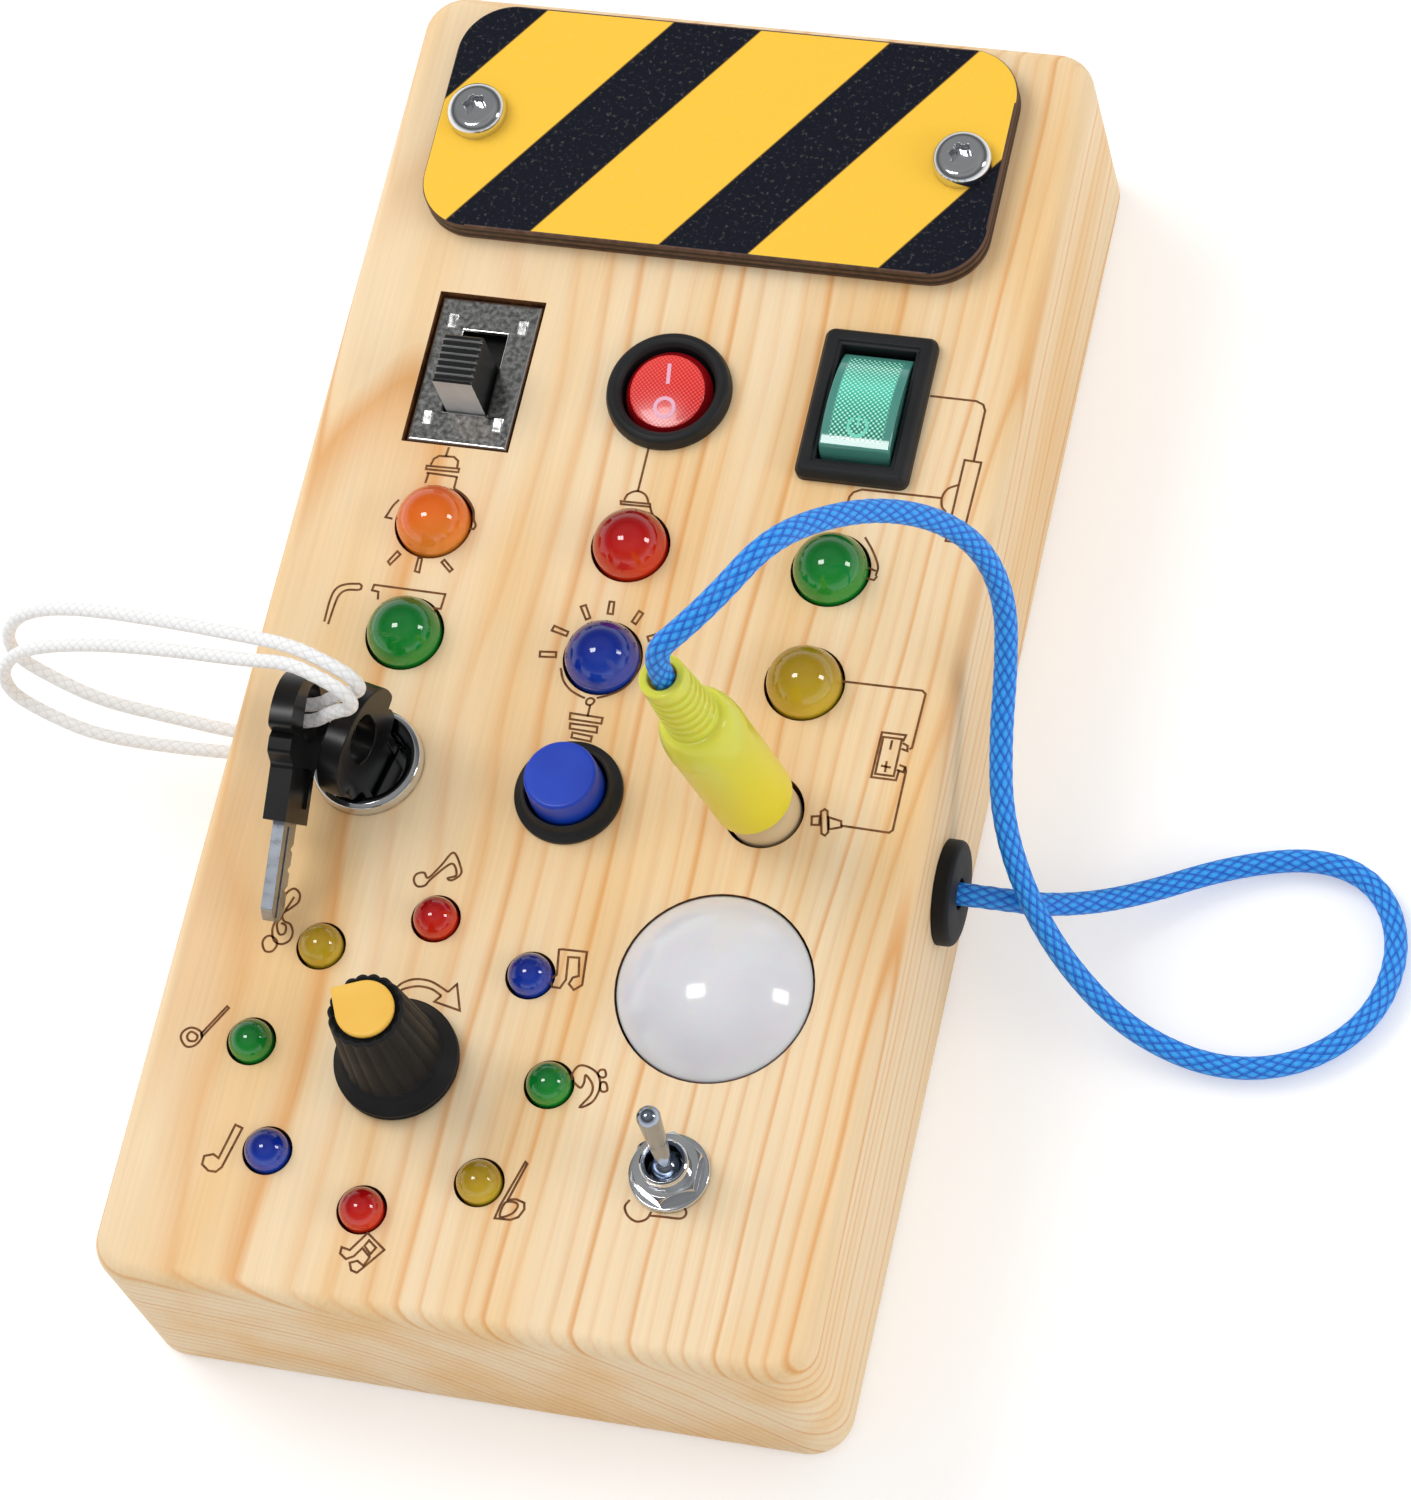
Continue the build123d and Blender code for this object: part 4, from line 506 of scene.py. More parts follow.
def lensFinish(name, colour, deep, glow):
    # cast epoxy, dyed through and wet-looking; its colour follows a point attribute: the deep colour on the
    # side towards the light is painted shade, the bright colour on the far side a painted glow
    material, tree, shader = newFinish(name, Roughness=0.07, IOR=1.53, Coat_Weight=0.5, Coat_Roughness=0.03,
                                       Subsurface_Weight=0.35, Subsurface_Scale=0.0025)
    paintedGlowLevel = addNode(tree, "Attribute", {"attribute_name": "litFoot"})
    tone = addNode(tree, "ValToRGB", {"stops": [(0.0, deep), (0.45, colour), (1.0, glow)]},
                   {0: paintedGlowLevel.outputs["Fac"]})
    tree.links.new(tone.outputs[0], shader.inputs["Base Color"])
    return material


def rockerFinish(name, centre, tilt, tones, dots, window, **more):
    # clear moulding over a dotted reflector: dots = cos(2 pi x/p)*cos(2 pi y/p) on the rocker's own plane,
    # inside a window; outside the window the clear rim shows a darker, plainer tone
    material, tree, shader = newFinish(name, **more)
    place = addNode(tree, "TexCoord").outputs["Object"]
    own = addNode(tree, "Mapping", {
        "vector_type": "TEXTURE", "Rotation": (math.radians(tilt), 0.0, 0.0),
        "Location": (centre[0] * mm, centre[1] * mm, rockerPivot * mm)}, {0: place})
    parts = addNode(tree, "SeparateXYZ", {}, {0: own})
    waves = []
    for axis in (0, 1):
        turn = addNode(tree, "Math MULTIPLY", {1: 2000 * math.pi / dots["pitch"]}, {0: parts.outputs[axis]})
        waves.append(addNode(tree, "Math COSINE", {}, {0: turn}))
    grid = addNode(tree, "Math MULTIPLY", {}, {0: waves[0], 1: waves[1]})
    dot = addNode(tree, "MapRange", {"From Min": -0.1, "From Max": 0.7, "To Max": dots["strength"]},
                  {"Value": grid})
    ends = addNode(tree, "MapRange", {"From Min": -window[1] * mm, "From Max": window[1] * mm},
                   {"Value": parts.outputs[1]})
    # the ground colour ramps along the rocker's length, lighter over one stretch of its top: painted light
    # and shade
    ground = addNode(tree, "ValToRGB", {"stops": tones["ground"]}, {0: ends})
    dotted = addNode(tree, "Mix", {"data_type": "RGBA", 7: tones["dot"]}, {0: dot, 6: ground})
    inside = []
    for axis in (0, 1):
        away = addNode(tree, "Math ABSOLUTE", {}, {0: parts.outputs[axis]})
        inside.append(addNode(tree, "MapRange", {
            "From Min": window[axis] * mm, "To Min": 1.0, "To Max": 0.0,
            "From Max": (window[axis] + 0.15) * mm}, {"Value": away}))
    pane = addNode(tree, "Math MULTIPLY", {}, {0: inside[0], 1: inside[1]})
    tone = addNode(tree, "Mix", {"data_type": "RGBA", 6: tones["rim"]}, {0: pane, 7: dotted.outputs[2]})
    tree.links.new(tone.outputs[2], shader.inputs["Base Color"])
    return material


pine, scorched = pineFinish(), scorchedFinish()
birchPly = plyFinish("birch_plywood", "#E7CDA0", "#C79F68", 1.0, 0.0)
darkPly = plyFinish("stained_plywood_edge", "#6E4E3C", "#1E120E", 0.6, 31.0)
striped = stripedFinish()
# metals: bright chrome mirrors the room, tin plate is clouded, stamped and zinc-plated steel are duller
chrome = metalFinish("polished_chrome", "#DFE1E4", 0.08)
nickel = metalFinish("mottled_tin_plate", "#D2D2D0", 0.2, 0.62, 1500.0)
# a lighter, unclouded tin for the plate's rolled edges, tongue walls and cut sides: painted highlight
tinEdgeHighlight = metalFinish("tin_edge_painted_highlight", "#F0F0EE", 0.2)
batSteel = metalFinish("cool_polished_chrome", "#A4AEBE", 0.14)
zinc = metalFinish("zinc_plated_steel", "#B9BCC0", 0.3, 0.1)
brass = metalFinish("nickel_plated_spring_steel", "#C4C2BC", 0.25)
steelBlade = metalFinish("stamped_steel", "#B4BAC4", 0.3, 0.1, 500.0, (1.0, 1.0, 4.0))
# moulded plastics: spark-eroded moulds leave the blacks matt; key heads and buttons have a soft shine
mattBlack = mouldedFinish("matt_black_abs", "#232426", "#1A1B1D", 0.5, 0.6, 2600.0, Specular_IOR_Level=0.35)
charcoal = mouldedFinish("charcoal_phenolic", "#26272A", "#1C1D1F", 0.5, 0.6,
                         2200.0, Specular_IOR_Level=0.12)
sliderBlack = mouldedFinish("smooth_black_acetal", "#161718", "#101112", 0.3, 0.05, 1500.0)
# the black slider's front face in light grey: painted sheen, where light catches that face
sliderFrontSheen = mouldedFinish("acetal_front_painted_sheen", "#D6D7D8", "#B4B5B7", 0.35, 0.2, 900.0)
glossBlack = mouldedFinish("satin_black_abs", "#161617", "#0F0F10", 0.28, 0.05,
                           900.0, Specular_IOR_Level=0.35)
rubber = mouldedFinish("black_rubber", "#141517", "#0E0F10", 0.6, 0.3, Specular_IOR_Level=0.25)
innerPlastic = mouldedFinish("black_nylon", "#1E1F21", "#161719", 0.45, 0.3)
blueAbs = mouldedFinish("blue_abs", "#1746C8", "#133CB8", 0.32, 0.12, 3000.0, Subsurface_Weight=0.05,
                        Subsurface_Scale=0.0006)
yellowAbs = mouldedFinish("yellow_abs", "#F8C552", "#F3BC42", 0.36, 0.12, 3000.0, Subsurface_Weight=0.08,
                          Subsurface_Scale=0.0006)
limePvc = mouldedFinish("lime_soft_pvc", "#E4E244", "#DCD83A", 0.3, 0.08, 1500.0, Subsurface_Weight=0.35,
                        Subsurface_Scale=0.003, Coat_Weight=0.15)
# the colour runs from yellow near the board to lime higher up the sleeve
tree = limePvc.node_tree
tall = addNode(tree, "SeparateXYZ", {}, {0: addNode(tree, "TexCoord").outputs["Object"]})
heightShare = addNode(tree, "MapRange", {"From Min": 0.036, "From Max": 0.056}, {"Value": tall.outputs[2]})
tone = addNode(tree, "ValToRGB", {"stops": [(0.0, "#F0E02E"), (0.5, "#E8DE38"), (1.0, "#DEDE48")]}, {0: heightShare})
tree.links.new(tone.outputs[0], tree.nodes["Principled BSDF"].inputs["Base Color"])
beigeNylon = mouldedFinish("beige_nylon", "#DEC59C", "#D6BA8E", 0.38, 0.1, 2500.0, Subsurface_Weight=0.2,
                           Subsurface_Scale=0.001)
opal = mouldedFinish("opal_polycarbonate", "#E4E4E9", "#DFDFE5", 0.14, 0.0, Coat_Weight=0.4,
                     Subsurface_Weight=0.5, Subsurface_Scale=0.003)
# cast epoxy lamps: wet shine, a deep colour painted on the side towards the light as shade, and a painted
# glow on the side away from it
redLens = lensFinish("red_epoxy_lens", "#B80A0A", "#7A0608", "#E83A1C")
orangeLens = lensFinish("orange_epoxy_lens", "#E8701A", "#C8500C", "#FF9C3C")
greenLens = lensFinish("green_epoxy_lens", "#067A2C", "#04561E", "#26A83C")
blueLens = lensFinish("blue_epoxy_lens", "#0C2A94", "#081A6A", "#2450CC")
yellowLens = lensFinish("olive_yellow_epoxy_lens", "#AE8E16", "#8A6E0E", "#DCC034")
# the ground stops run along each rocker's length: painted light and shade on its top
redRocker = rockerFinish("red_polycarbonate", boardPlaces["roundRocker"], 9.0, {
    "ground": [(0.0, "#C00E1A"), (0.35, "#DA121C"), (1.0, "#E83230")], "dot": "#FF7A6A", "rim": "#C8101C"},
    {"pitch": 0.58, "strength": 0.65}, (9.0, 5.0), Roughness=0.2, Coat_Weight=0.3, Subsurface_Weight=0.2,
    Subsurface_Scale=0.001)
greenRocker = rockerFinish("clear_green_polycarbonate", boardPlaces["greenRocker"], -9.0, {
    "ground": [(0.0, "#0A7A5E"), (0.35, "#16A684"), (0.6, "#44CEAE"), (1.0, "#0C8466")], "dot": "#C8FFF2",
    "rim": "#4E9084"}, {"pitch": 0.66, "strength": 1.0}, (3.5, 6.4), Roughness=0.08, Coat_Weight=0.6)
redWall = mouldedFinish("deep_red_polycarbonate", "#A20C16", "#8C0A12", 0.15, 0.0, Coat_Weight=0.4)
# ink and printed film: flat and dull
paleMark = mouldedFinish("pale_printed_mark", "#F2B4CC", "#EDABC4", 0.4)
tealMark = mouldedFinish("pale_green_printed_mark", "#74E2C8", "#66D8BC", 0.4)
cellJacket = mouldedFinish("printed_cell_jacket", "#2C7D3A", "#256E33", 0.3)
circuitBoard = mouldedFinish("green_glass_epoxy_board", "#1E6B3C", "#175A31", 0.35, 0.1)
print("finishes made,", len(bpy.data.materials))

# wooden body and back
body = dressed("wooden_body", 0.12, 1, 40)
settle(body, "board", "pine", [pine, scorched], "wooden_body")
# the walls of the face's cut-outs are charred: upright, above the cavity's ceiling, inside the outline
finishByFace(body, lambda normal, centre: (np.abs(normal[:, 2]) < 0.5) & (centre[:, 2] > 24)
             & (np.abs(centre[:, 0]) < 43) & (np.abs(centre[:, 1]) < 88))
settle(dressed("back_panel", 0.15, 2), "board", "plywood", birchPly, "back_panel")
print("wood made")

# engraved lines on the face: closed, smooth, then x and y of each point in mm
engravedLines = [
    (0, 0, [-27.2, 24.7, -27.3, 23.3]),  # slideWire
    (0, 0, [-29.0, 21.9, -28.8, 22.8, -28.2, 23.3, -26.2, 23.4, -25.5, 22.9, -25.4, 21.9]),  # lampCap
    (1, 0, [-29.5, 21.7, -25.1, 21.8, -25.1, 21.3, -29.5, 21.2]),  # lampThreadA
    (0, 0, [-29.3, 20.7, -25.0, 20.6]),  # lampThreadB
    (0, 0, [-29.1, 19.2, -29.0, 20.7]),  # lampCollar
    (0, 0, [-25.1, 20.6, -25.1, 18.9]),  # lampCollarB
    (0, 1, [-25.1, 18.9, -24.0, 18.4, -22.8, 17.5, -21.8, 16.2, -21.4, 14.9, -20.9, 14.0]),  # shadeRight
    (0, 0, [-20.9, 14.0, -21.1, 13.5, -22.4, 13.5]),  # shadeLipR
    (0, 1, [-32.0, 16.4, -32.6, 15.4, -33.0, 14.2]),  # shadeLeft
    (0, 0, [-33.0, 14.2, -33.2, 13.7, -32.2, 13.6]),  # shadeLipL
    (1, 0, [-30.4, 9.1, -31.3, 7.5, -30.9, 7.1, -29.9, 8.7]),  # lampRay1
    (1, 0, [-27.4, 8.6, -27.4, 6.6, -26.8, 6.5, -26.9, 8.5]),  # lampRay2
    (1, 0, [-24.2, 8.3, -22.8, 7.1, -22.5, 7.5, -23.9, 8.7]),  # lampRay3
    (0, 1, [-37.6, -2.0, -37.6, 1.1, -37.2, 2.8, -36.0, 3.6, -34.2, 3.9]),  # tapPipe
    (0, 0, [-34.2, 3.9, -33.9, 3.6, -33.9, 3.2, -34.2, 3.0]),  # tapPipeEnd
    (0, 1, [-34.2, 3.0, -35.7, 2.8, -36.5, 2.1, -36.8, 0.8, -37.0, -2.3]),  # tapPipeB
    (0, 0, [-31.3, 2.0, -31.5, 3.1, -32.4, 3.2, -32.3, 4.0, -22.6, 3.9, -22.7, 1.8, -24.3, 1.7]),  # tapTop
    (0, 0, [-0.8, 28.0, -0.8, 21.5]),  # redWire
    (0, 1, [-2.3, 20.1, -2.0, 21.0, -0.9, 21.6, 0.3, 21.2, 1.0, 20.1]),  # redCapTop
    (1, 0, [-2.7, 19.9, 1.2, 20.0, 1.3, 19.6, -2.6, 19.5]),  # redCapA
    (0, 1, [1.3, 19.6, 1.7, 18.8, 2.3, 18.1]),  # redCapB
    (0, 1, [1.1, 2.6, 2.7, 1.7, 4.2, 0.1, 4.9, -1.8, 4.7, -4.1, 3.7, -5.9, 2.1, -7.1, 0.5, -7.8]),  # blueArc
    (0, 1, [-5.1, -4.3, -4.4, -5.9, -3.2, -7.1, -1.7, -7.8, -1.0, -8.0]),  # blueArcB
    (1, 0, [-8.2, -3.1, -6.1, -2.9, -6.2, -2.2, -8.3, -2.4]),  # ray0
    (1, 0, [-7.5, 0.7, -5.4, 0.2, -5.3, 0.8, -7.3, 1.4]),  # ray1
    (1, 0, [-4.5, 4.5, -3.4, 2.8, -2.9, 3.1, -3.9, 4.8]),  # ray2
    (1, 0, [-0.9, 5.7, -0.8, 4.0, -0.1, 4.0, -0.3, 5.7]),  # ray3
    (1, 0, [3.2, 4.9, 2.6, 3.3, 3.2, 3.0, 3.8, 4.6]),  # ray4
    (1, 0, [6.8, 2.3, 5.1, 1.5, 5.4, 0.9, 7.1, 1.7]),  # ray5
    (1, 1, [-0.7, -8.2, -0.2, -7.9, 0.3, -8.2, -0.0, -8.8, -0.6, -8.8]),  # bulbRing
    (0, 0, [-0.1, -8.8, -0.1, -10.5]),  # bulbStem
    (1, 0, [-2.3, -11.1, 1.9, -11.2, 1.9, -10.4, -2.4, -10.3]),  # bulbBar0
    (1, 0, [-2.0, -12.4, 1.6, -12.5, 1.5, -11.7, -2.1, -11.7]),  # bulbBar1
    (1, 0, [-1.5, -13.6, 1.1, -13.8, 1.1, -13.1, -1.5, -12.9]),  # bulbBar2
    (0, 0, [34.2, 39.8, 40.3, 39.8, 41.3, 39.4, 41.7, 38.6, 41.7, 31.3]),  # bellWire
    (1, 0, [40.5, 31.3, 42.7, 31.2, 42.4, 19.7, 40.4, 19.7]),  # bellPlate
    (0, 1, [40.4, 27.7, 39.2, 27.0, 38.7, 25.8, 38.9, 24.5, 39.6, 23.7]),  # bellHalf
    (0, 0, [38.6, 25.6, 28.2, 25.5, 27.2, 25.0, 26.8, 24.3, 26.7, 22.7]),  # greenWire
    (0, 1, [25.3, 21.2, 25.6, 22.2, 26.6, 22.7, 27.6, 22.2, 28.0, 21.4]),  # greenCap
    (0, 1, [30.0, 18.9, 31.4, 17.1, 32.5, 15.1, 32.5, 13.7]),  # greenOutline
    (0, 0, [32.7, 13.7, 32.4, 13.1, 30.7, 13.3]),  # greenFoot
    (0, 0, [31.3, 14.7, 32.4, 14.4]),  # greenTick
    (0, 0, [30.8, -1.3, 41.7, -1.2, 42.2, -1.6, 42.0, -9.1, 41.7, -9.3]),  # yellowWire
    (0, 0, [40.7, -8.4, 40.9, -7.5, 37.8, -7.5, 37.7, -13.7, 40.9, -13.7, 41.0, -12.3]),  # batteryOuter
    (1, 0, [38.1, -8.1, 40.5, -8.1, 40.5, -13.2, 38.1, -13.2]),  # batteryInner
    (0, 0, [39.3, -8.4, 39.3, -9.7]),  # batteryMinus
    (0, 0, [38.6, -12.0, 39.9, -12.1]),  # batteryPlusA
    (0, 0, [39.2, -11.3, 39.3, -12.8]),  # batteryPlusB
    (0, 0, [40.7, -8.6, 41.4, -8.9, 41.5, -9.6, 40.7, -9.4]),  # batteryTabA
    (0, 0, [40.9, -11.6, 41.7, -11.8, 41.6, -12.5, 40.7, -12.3]),  # batteryTabB
    (0, 0, [41.7, -11.8, 41.9, -12.3, 41.9, -20.4, 41.5, -20.8, 35.3, -20.7]),  # plugWire
    (1, 0, [31.4, -20.0, 32.4, -19.8, 32.6, -21.0, 31.6, -21.1]),  # plugPin
    (1, 0, [32.4, -19.2, 32.8, -18.8, 33.2, -19.0, 33.9, -21.8, 33.6, -22.3, 33.1, -22.1]),  # plugBar
    (1, 0, [33.5, -19.8, 35.2, -20.1, 35.4, -20.9, 33.9, -21.4]),  # plugBody
    (1, 1, [-15.3, -35.0, -16.0, -34.4, -16.9, -34.7, -17.1, -35.5, -16.5, -36.3, -15.5, -36.1, -14.9,
            -35.1, -12.8, -32.7, -11.8, -34.1, -12.8, -34.7, -12.2, -34.9, -11.3, -34.0, -11.5, -33.0,
            -12.9, -31.2, -14.1, -33.2]),  # noteA
    # noteB
    (1, 0, [3.6, -42.1, 4.0, -42.0, 7.2, -41.9, 7.6, -46.3, 6.7, -47.1, 5.9, -46.4, 6.2, -45.5, 6.9,
            -45.2, 6.4, -42.8, 5.0, -42.9, 5.4, -45.9, 4.9, -47.1, 3.9, -47.1, 3.4, -46.2, 4.1, -45.4]),
    # clefBass
    (0, 1, [9.6, -59.1, 10.5, -59.6, 10.8, -58.9, 10.8, -57.9, 11.9, -59.0, 12.0, -60.3, 11.0, -62.1,
            12.4, -61.2, 12.9, -59.3, 12.3, -57.6, 10.9, -56.8, 9.7, -56.8, 9.1, -57.8, 9.2, -58.8]),
    (1, 1, [12.4, -57.0, 13.0, -56.9, 13.3, -57.6, 12.9, -57.9, 12.3, -57.6]),  # clefDotA
    (1, 1, [12.9, -58.6, 13.5, -58.5, 13.9, -59.4, 13.4, -59.7, 13.0, -59.4]),  # clefDotB
    (1, 0, [5.9, -70.1, 6.2, -70.3, 4.9, -75.2, 5.9, -75.0, 7.0, -75.3, 7.2, -76.1, 6.7, -77.2, 5.8,
            -77.7, 3.8, -77.8, 4.1, -76.1]),  # flatSign
    (1, 1, [4.6, -75.7, 5.7, -75.4, 6.3, -75.8, 5.8, -76.9, 4.4, -77.5]),  # flatInner
    (1, 0, [-11.5, -82.1, -8.9, -83.9, -11.1, -86.7, -11.6, -87.3, -12.4, -87.1, -12.8, -86.2, -11.9,
            -85.8, -11.0, -86.3, -10.5, -85.1, -11.7, -84.1, -12.5, -85.3, -13.4, -85.8, -14.3, -85.2,
            -14.3, -84.4, -13.2, -84.6]),  # noteC
    (1, 0, [-11.1, -83.0, -10.0, -83.8, -10.5, -84.7, -11.5, -83.8]),  # noteCHole
    (1, 0, [-31.7, -70.9, -30.7, -71.2, -32.0, -76.6, -32.6, -77.3, -33.6, -77.3, -34.6, -76.6, -34.6,
            -75.5, -33.5, -75.1, -32.7, -75.5]),  # noteD
    (1, 1, [-40.8, -59.2, -41.6, -59.9, -41.6, -60.8, -40.7, -61.7, -39.7, -61.5, -39.1, -60.7, -39.0,
            -59.9, -39.7, -59.3]),  # noteE
    (1, 1, [-40.5, -59.7, -40.9, -60.3, -40.5, -60.9, -39.7, -60.8, -39.6, -60.1]),  # noteEHole
    (1, 0, [-39.2, -59.8, -36.8, -55.7, -36.5, -55.9, -39.0, -60.2]),  # noteEStem
    (1, 1, [-33.5, -43.4, -33.6, -44.8, -33.0, -46.2, -31.9, -46.5, -31.0, -45.8, -30.9, -44.7, -31.5,
            -43.7, -32.4, -43.4, -32.8, -42.5, -31.9, -41.5, -31.2, -40.6, -31.3, -39.5, -32.2, -38.9,
            -33.0, -39.6, -33.3, -40.9, -33.4, -42.1]),  # clefOuter
    # clefInner
    (0, 1, [-32.9, -43.0, -33.2, -44.0, -32.6, -45.2, -31.9, -45.0, -32.0, -44.0, -32.7, -43.7]),
    (1, 1, [-34.3, -46.0, -34.4, -46.8, -33.8, -47.7, -32.9, -47.6, -32.5, -46.7, -32.8, -46.0, -33.7,
            -45.6]),  # clefFoot
    (0, 0, [-32.6, -42.0, -31.9, -40.0]),  # clefStroke
    (0, 1, [-16.0, -50.4, -15.1, -49.3, -13.6, -48.6, -11.7, -48.6, -10.1, -49.2, -9.1, -49.7]),  # arrow
    (0, 0, [-9.1, -49.7, -8.2, -48.5, -7.0, -51.9, -10.5, -51.2, -9.8, -50.3]),  # arrowHead
    (0, 1, [-9.8, -50.3, -11.3, -49.6, -13.1, -49.5, -14.8, -50.1, -15.4, -50.7]),  # arrowB
    (0, 1, [19.9, -72.9, 19.5, -73.9, 20.2, -75.0, 21.4, -75.5, 22.5, -75.0, 22.9, -74.0]),  # leverKnob
    (0, 1, [22.9, -74.5, 24.7, -74.4, 26.6, -74.3, 27.2, -73.7, 26.9, -73.0, 26.0, -72.9]),  # leverArm
]


def ribbonPiece(name, lines, width, height, scale=mm):
    # each drawn line becomes a flat strip: points + and - half the width along the mitre of their two runs,
    # set at height(x, y); smooth lines are first run through a Catmull-Rom spline
    points, faces = [], []
    for closed, smooth, line in lines:
        p = np.array(line, float).reshape(-1, 2)
        if smooth:
            ends = (p[-1:], p[:1], p[1:2]) if closed else (2 * p[:1] - p[1:2], 2 * p[-1:] - p[-2:-1], p[:0])
            q = np.concatenate([ends[0], p, ends[1], ends[2]])
            t = np.linspace(0, 1, 6, endpoint=False)[None, :, None]
            a, b, c, d = (q[k:len(q) - 3 + k][:, None] for k in range(4))
            p = (0.5 * (2 * b + (c - a) * t + (2 * a - 5 * b + 4 * c - d) * t**2
                        + (3 * b - a - 3 * c + d) * t**3))
            p = p.reshape(-1, 2)
            if not closed:
                p = np.concatenate([p, q[-2:-1]])
        runs = np.roll(p, -1, 0) - p if closed else np.diff(p, axis=0)
        runs = runs / np.maximum(np.linalg.norm(runs, axis=1)[:, None], 1e-9)
        before = np.roll(runs, 1, 0) if closed else np.concatenate([runs[:1], runs])
        after = runs if closed else np.concatenate([runs, runs[-1:]])
        sideways = np.stack([-before[:, 1] - after[:, 1], before[:, 0] + after[:, 0]], 1)
        sideways /= np.maximum(np.linalg.norm(sideways, axis=1)[:, None], 1e-9)
        mitre = 1 / np.clip(np.abs(np.sum(sideways * np.stack([-after[:, 1], after[:, 0]], 1), 1)), 0.5, 1)
        edge = sideways * mitre[:, None] * width / 2
        strip = np.stack([p + edge, p - edge], 1)
        faces.append(gridFaces(len(p), 2, bool(closed), False, sum(len(x) for x in points)))
        points.append(strip.reshape(-1, 2))
    flat = np.concatenate(points)
    high = height(flat[:, 0], flat[:, 1])
    piece = meshPiece(name, np.column_stack([high[0], high[1], high[2]]) * scale,
                      np.concatenate(faces).tolist(), tidy=False)
    return piece


engraved = ribbonPiece("engraved_lines", engravedLines, 0.3,
                       lambda x, y: (x, y, np.full_like(x, face + 0.02)))
settle(engraved, "board", "pine", scorched)

# striped plate
plate = dressed("hazard_plate", 0.1, 1, 40)
settle(plate, "board", "yellow_plate", [striped, darkPly], "hazard_plate")
finishByFace(plate, lambda normal, centre: normal[:, 2] < 0.9)
settle(dressed("plate_screws", 0.12, 2, 40), "board", "chrome", chrome, "plate_screws")

# lamps
def onRing(index):
    # eight places round the knob, clockwise from the top: centre + reach*(cos, sin) of 90 - 45*index deg
    angle = math.radians(90 - 45 * index)
    reach = boardPlaces["ringRadius"]
    return (boardPlaces["ring"][0] + reach * math.cos(angle),
            boardPlaces["ring"][1] + reach * math.sin(angle), 0)


bigLens, smallLens = 4.85, 2.85                 # radii
lamps = {
    "lamp_orange": (bigLens, [(-26.6, 13.8, 0)], orangeLens, "orange_lens"),
    "lamp_red": (bigLens, [(0, 13.8, 0)], redLens, "red_lens"),
    "lamps_green": (bigLens, [(26.6, 13.8, 0), (-26.6, -2.2, 0)], greenLens, "green_lens"),
    "lamp_blue": (bigLens, [(0, -2.2, 0)], blueLens, "blue_lens"),
    "lamp_yellow": (bigLens, [(26.6, -2.2, 0)], yellowLens, "yellow_lens"),
    "small_lamps_red": (smallLens, [onRing(0), onRing(4)], redLens, "red_lens"),
    "small_lamps_blue": (smallLens, [onRing(1), onRing(5)], blueLens, "blue_lens"),
    "small_lamps_green": (smallLens, [onRing(2), onRing(6)], greenLens, "green_lens"),
    "small_lamps_yellow": (smallLens, [onRing(3), onRing(7)], yellowLens, "yellow_lens"),
}
paintedGlowSide = np.array([0.35, -0.75, -0.2])        # the side of a lens painted brightest as a painted glow, as if light that entered above came out there; the far side is painted darker
for name, (radius, places, finish, slotName) in lamps.items():
    # half-round nose: radius*cos(rise), face + radius*sin(rise); below it a straight body and a rim
    rise = np.radians(np.linspace(90, 0, 22))
    nose = np.stack([radius * np.cos(rise), face + radius * np.sin(rise)], 1)
    foot = softProfile([(radius, face - 0.5), (radius, 24), (radius + 0.9, 24, 0.2),
                        (radius + 0.9, 23, 0.2), (0, 23)])
    lamp = turnedPiece(name + "_lens", np.concatenate([nose, foot]), places, sides=56)
    co = np.zeros(len(lamp.data.vertices) * 3)
    lamp.data.vertices.foreach_get("co", co)
    co = co.reshape(-1, 3) / mm
    centre = np.array(places, float)[:, :2]
    nearest = centre[np.argmin(np.linalg.norm(co[:, None, :2] - centre[None], axis=2), axis=1)]
    away = np.column_stack([co[:, :2] - nearest, co[:, 2] - face]) / radius
    # painted glow and shade: ramp place 0.45 plus 0.62 times the lean towards the glow side
    paintedGlowLevel = np.clip(0.45 + 0.62 * away @ paintedGlowSide, 0, 1)
    lamp.data.attributes.new("litFoot", "FLOAT", "POINT").data.foreach_set("value", paintedGlowLevel.astype(np.float32))
    settle(lamp, "board", slotName, finish, name)
print("lamps made")

# slide switch
slidePlate = {"half": (6.95, 10.75), "slot": (3.0, 5.95), "top": 30.6, "edge": 0.55, "slotEdge": 0.35,
              "thick": 0.5, "lug": (4.8, 7.2), "lugHalf": (0.65, 1.0), "lugRise": 0.38, "step": 0.1}
# pressed sheet as a height over its plan: a quarter-round roll r - sqrt(r^2 - (r - d)^2) at distance d from
# each edge, and four small tongues that rise evenly along their length
across = np.arange(-slidePlate["half"][0], slidePlate["half"][0] + 0.01, slidePlate["step"])
along = np.arange(-slidePlate["half"][1], slidePlate["half"][1] + 0.01, slidePlate["step"])
px, py = np.meshgrid(across, along, indexing="ij")
toEdge = np.minimum(slidePlate["half"][0] - np.abs(px), slidePlate["half"][1] - np.abs(py))
toSlot = np.maximum(np.abs(px) - slidePlate["slot"][0], np.abs(py) - slidePlate["slot"][1])
high = np.full_like(px, slidePlate["top"])
for near, bend in ((toEdge, slidePlate["edge"]), (toSlot, slidePlate["slotEdge"])):
    short = np.clip(bend - near, 0, bend)
    high -= bend - np.sqrt(bend**2 - short**2)
lugX, lugY = np.abs(px) - slidePlate["lug"][0], py - np.where(py > 0, 1, -1) * slidePlate["lug"][1]
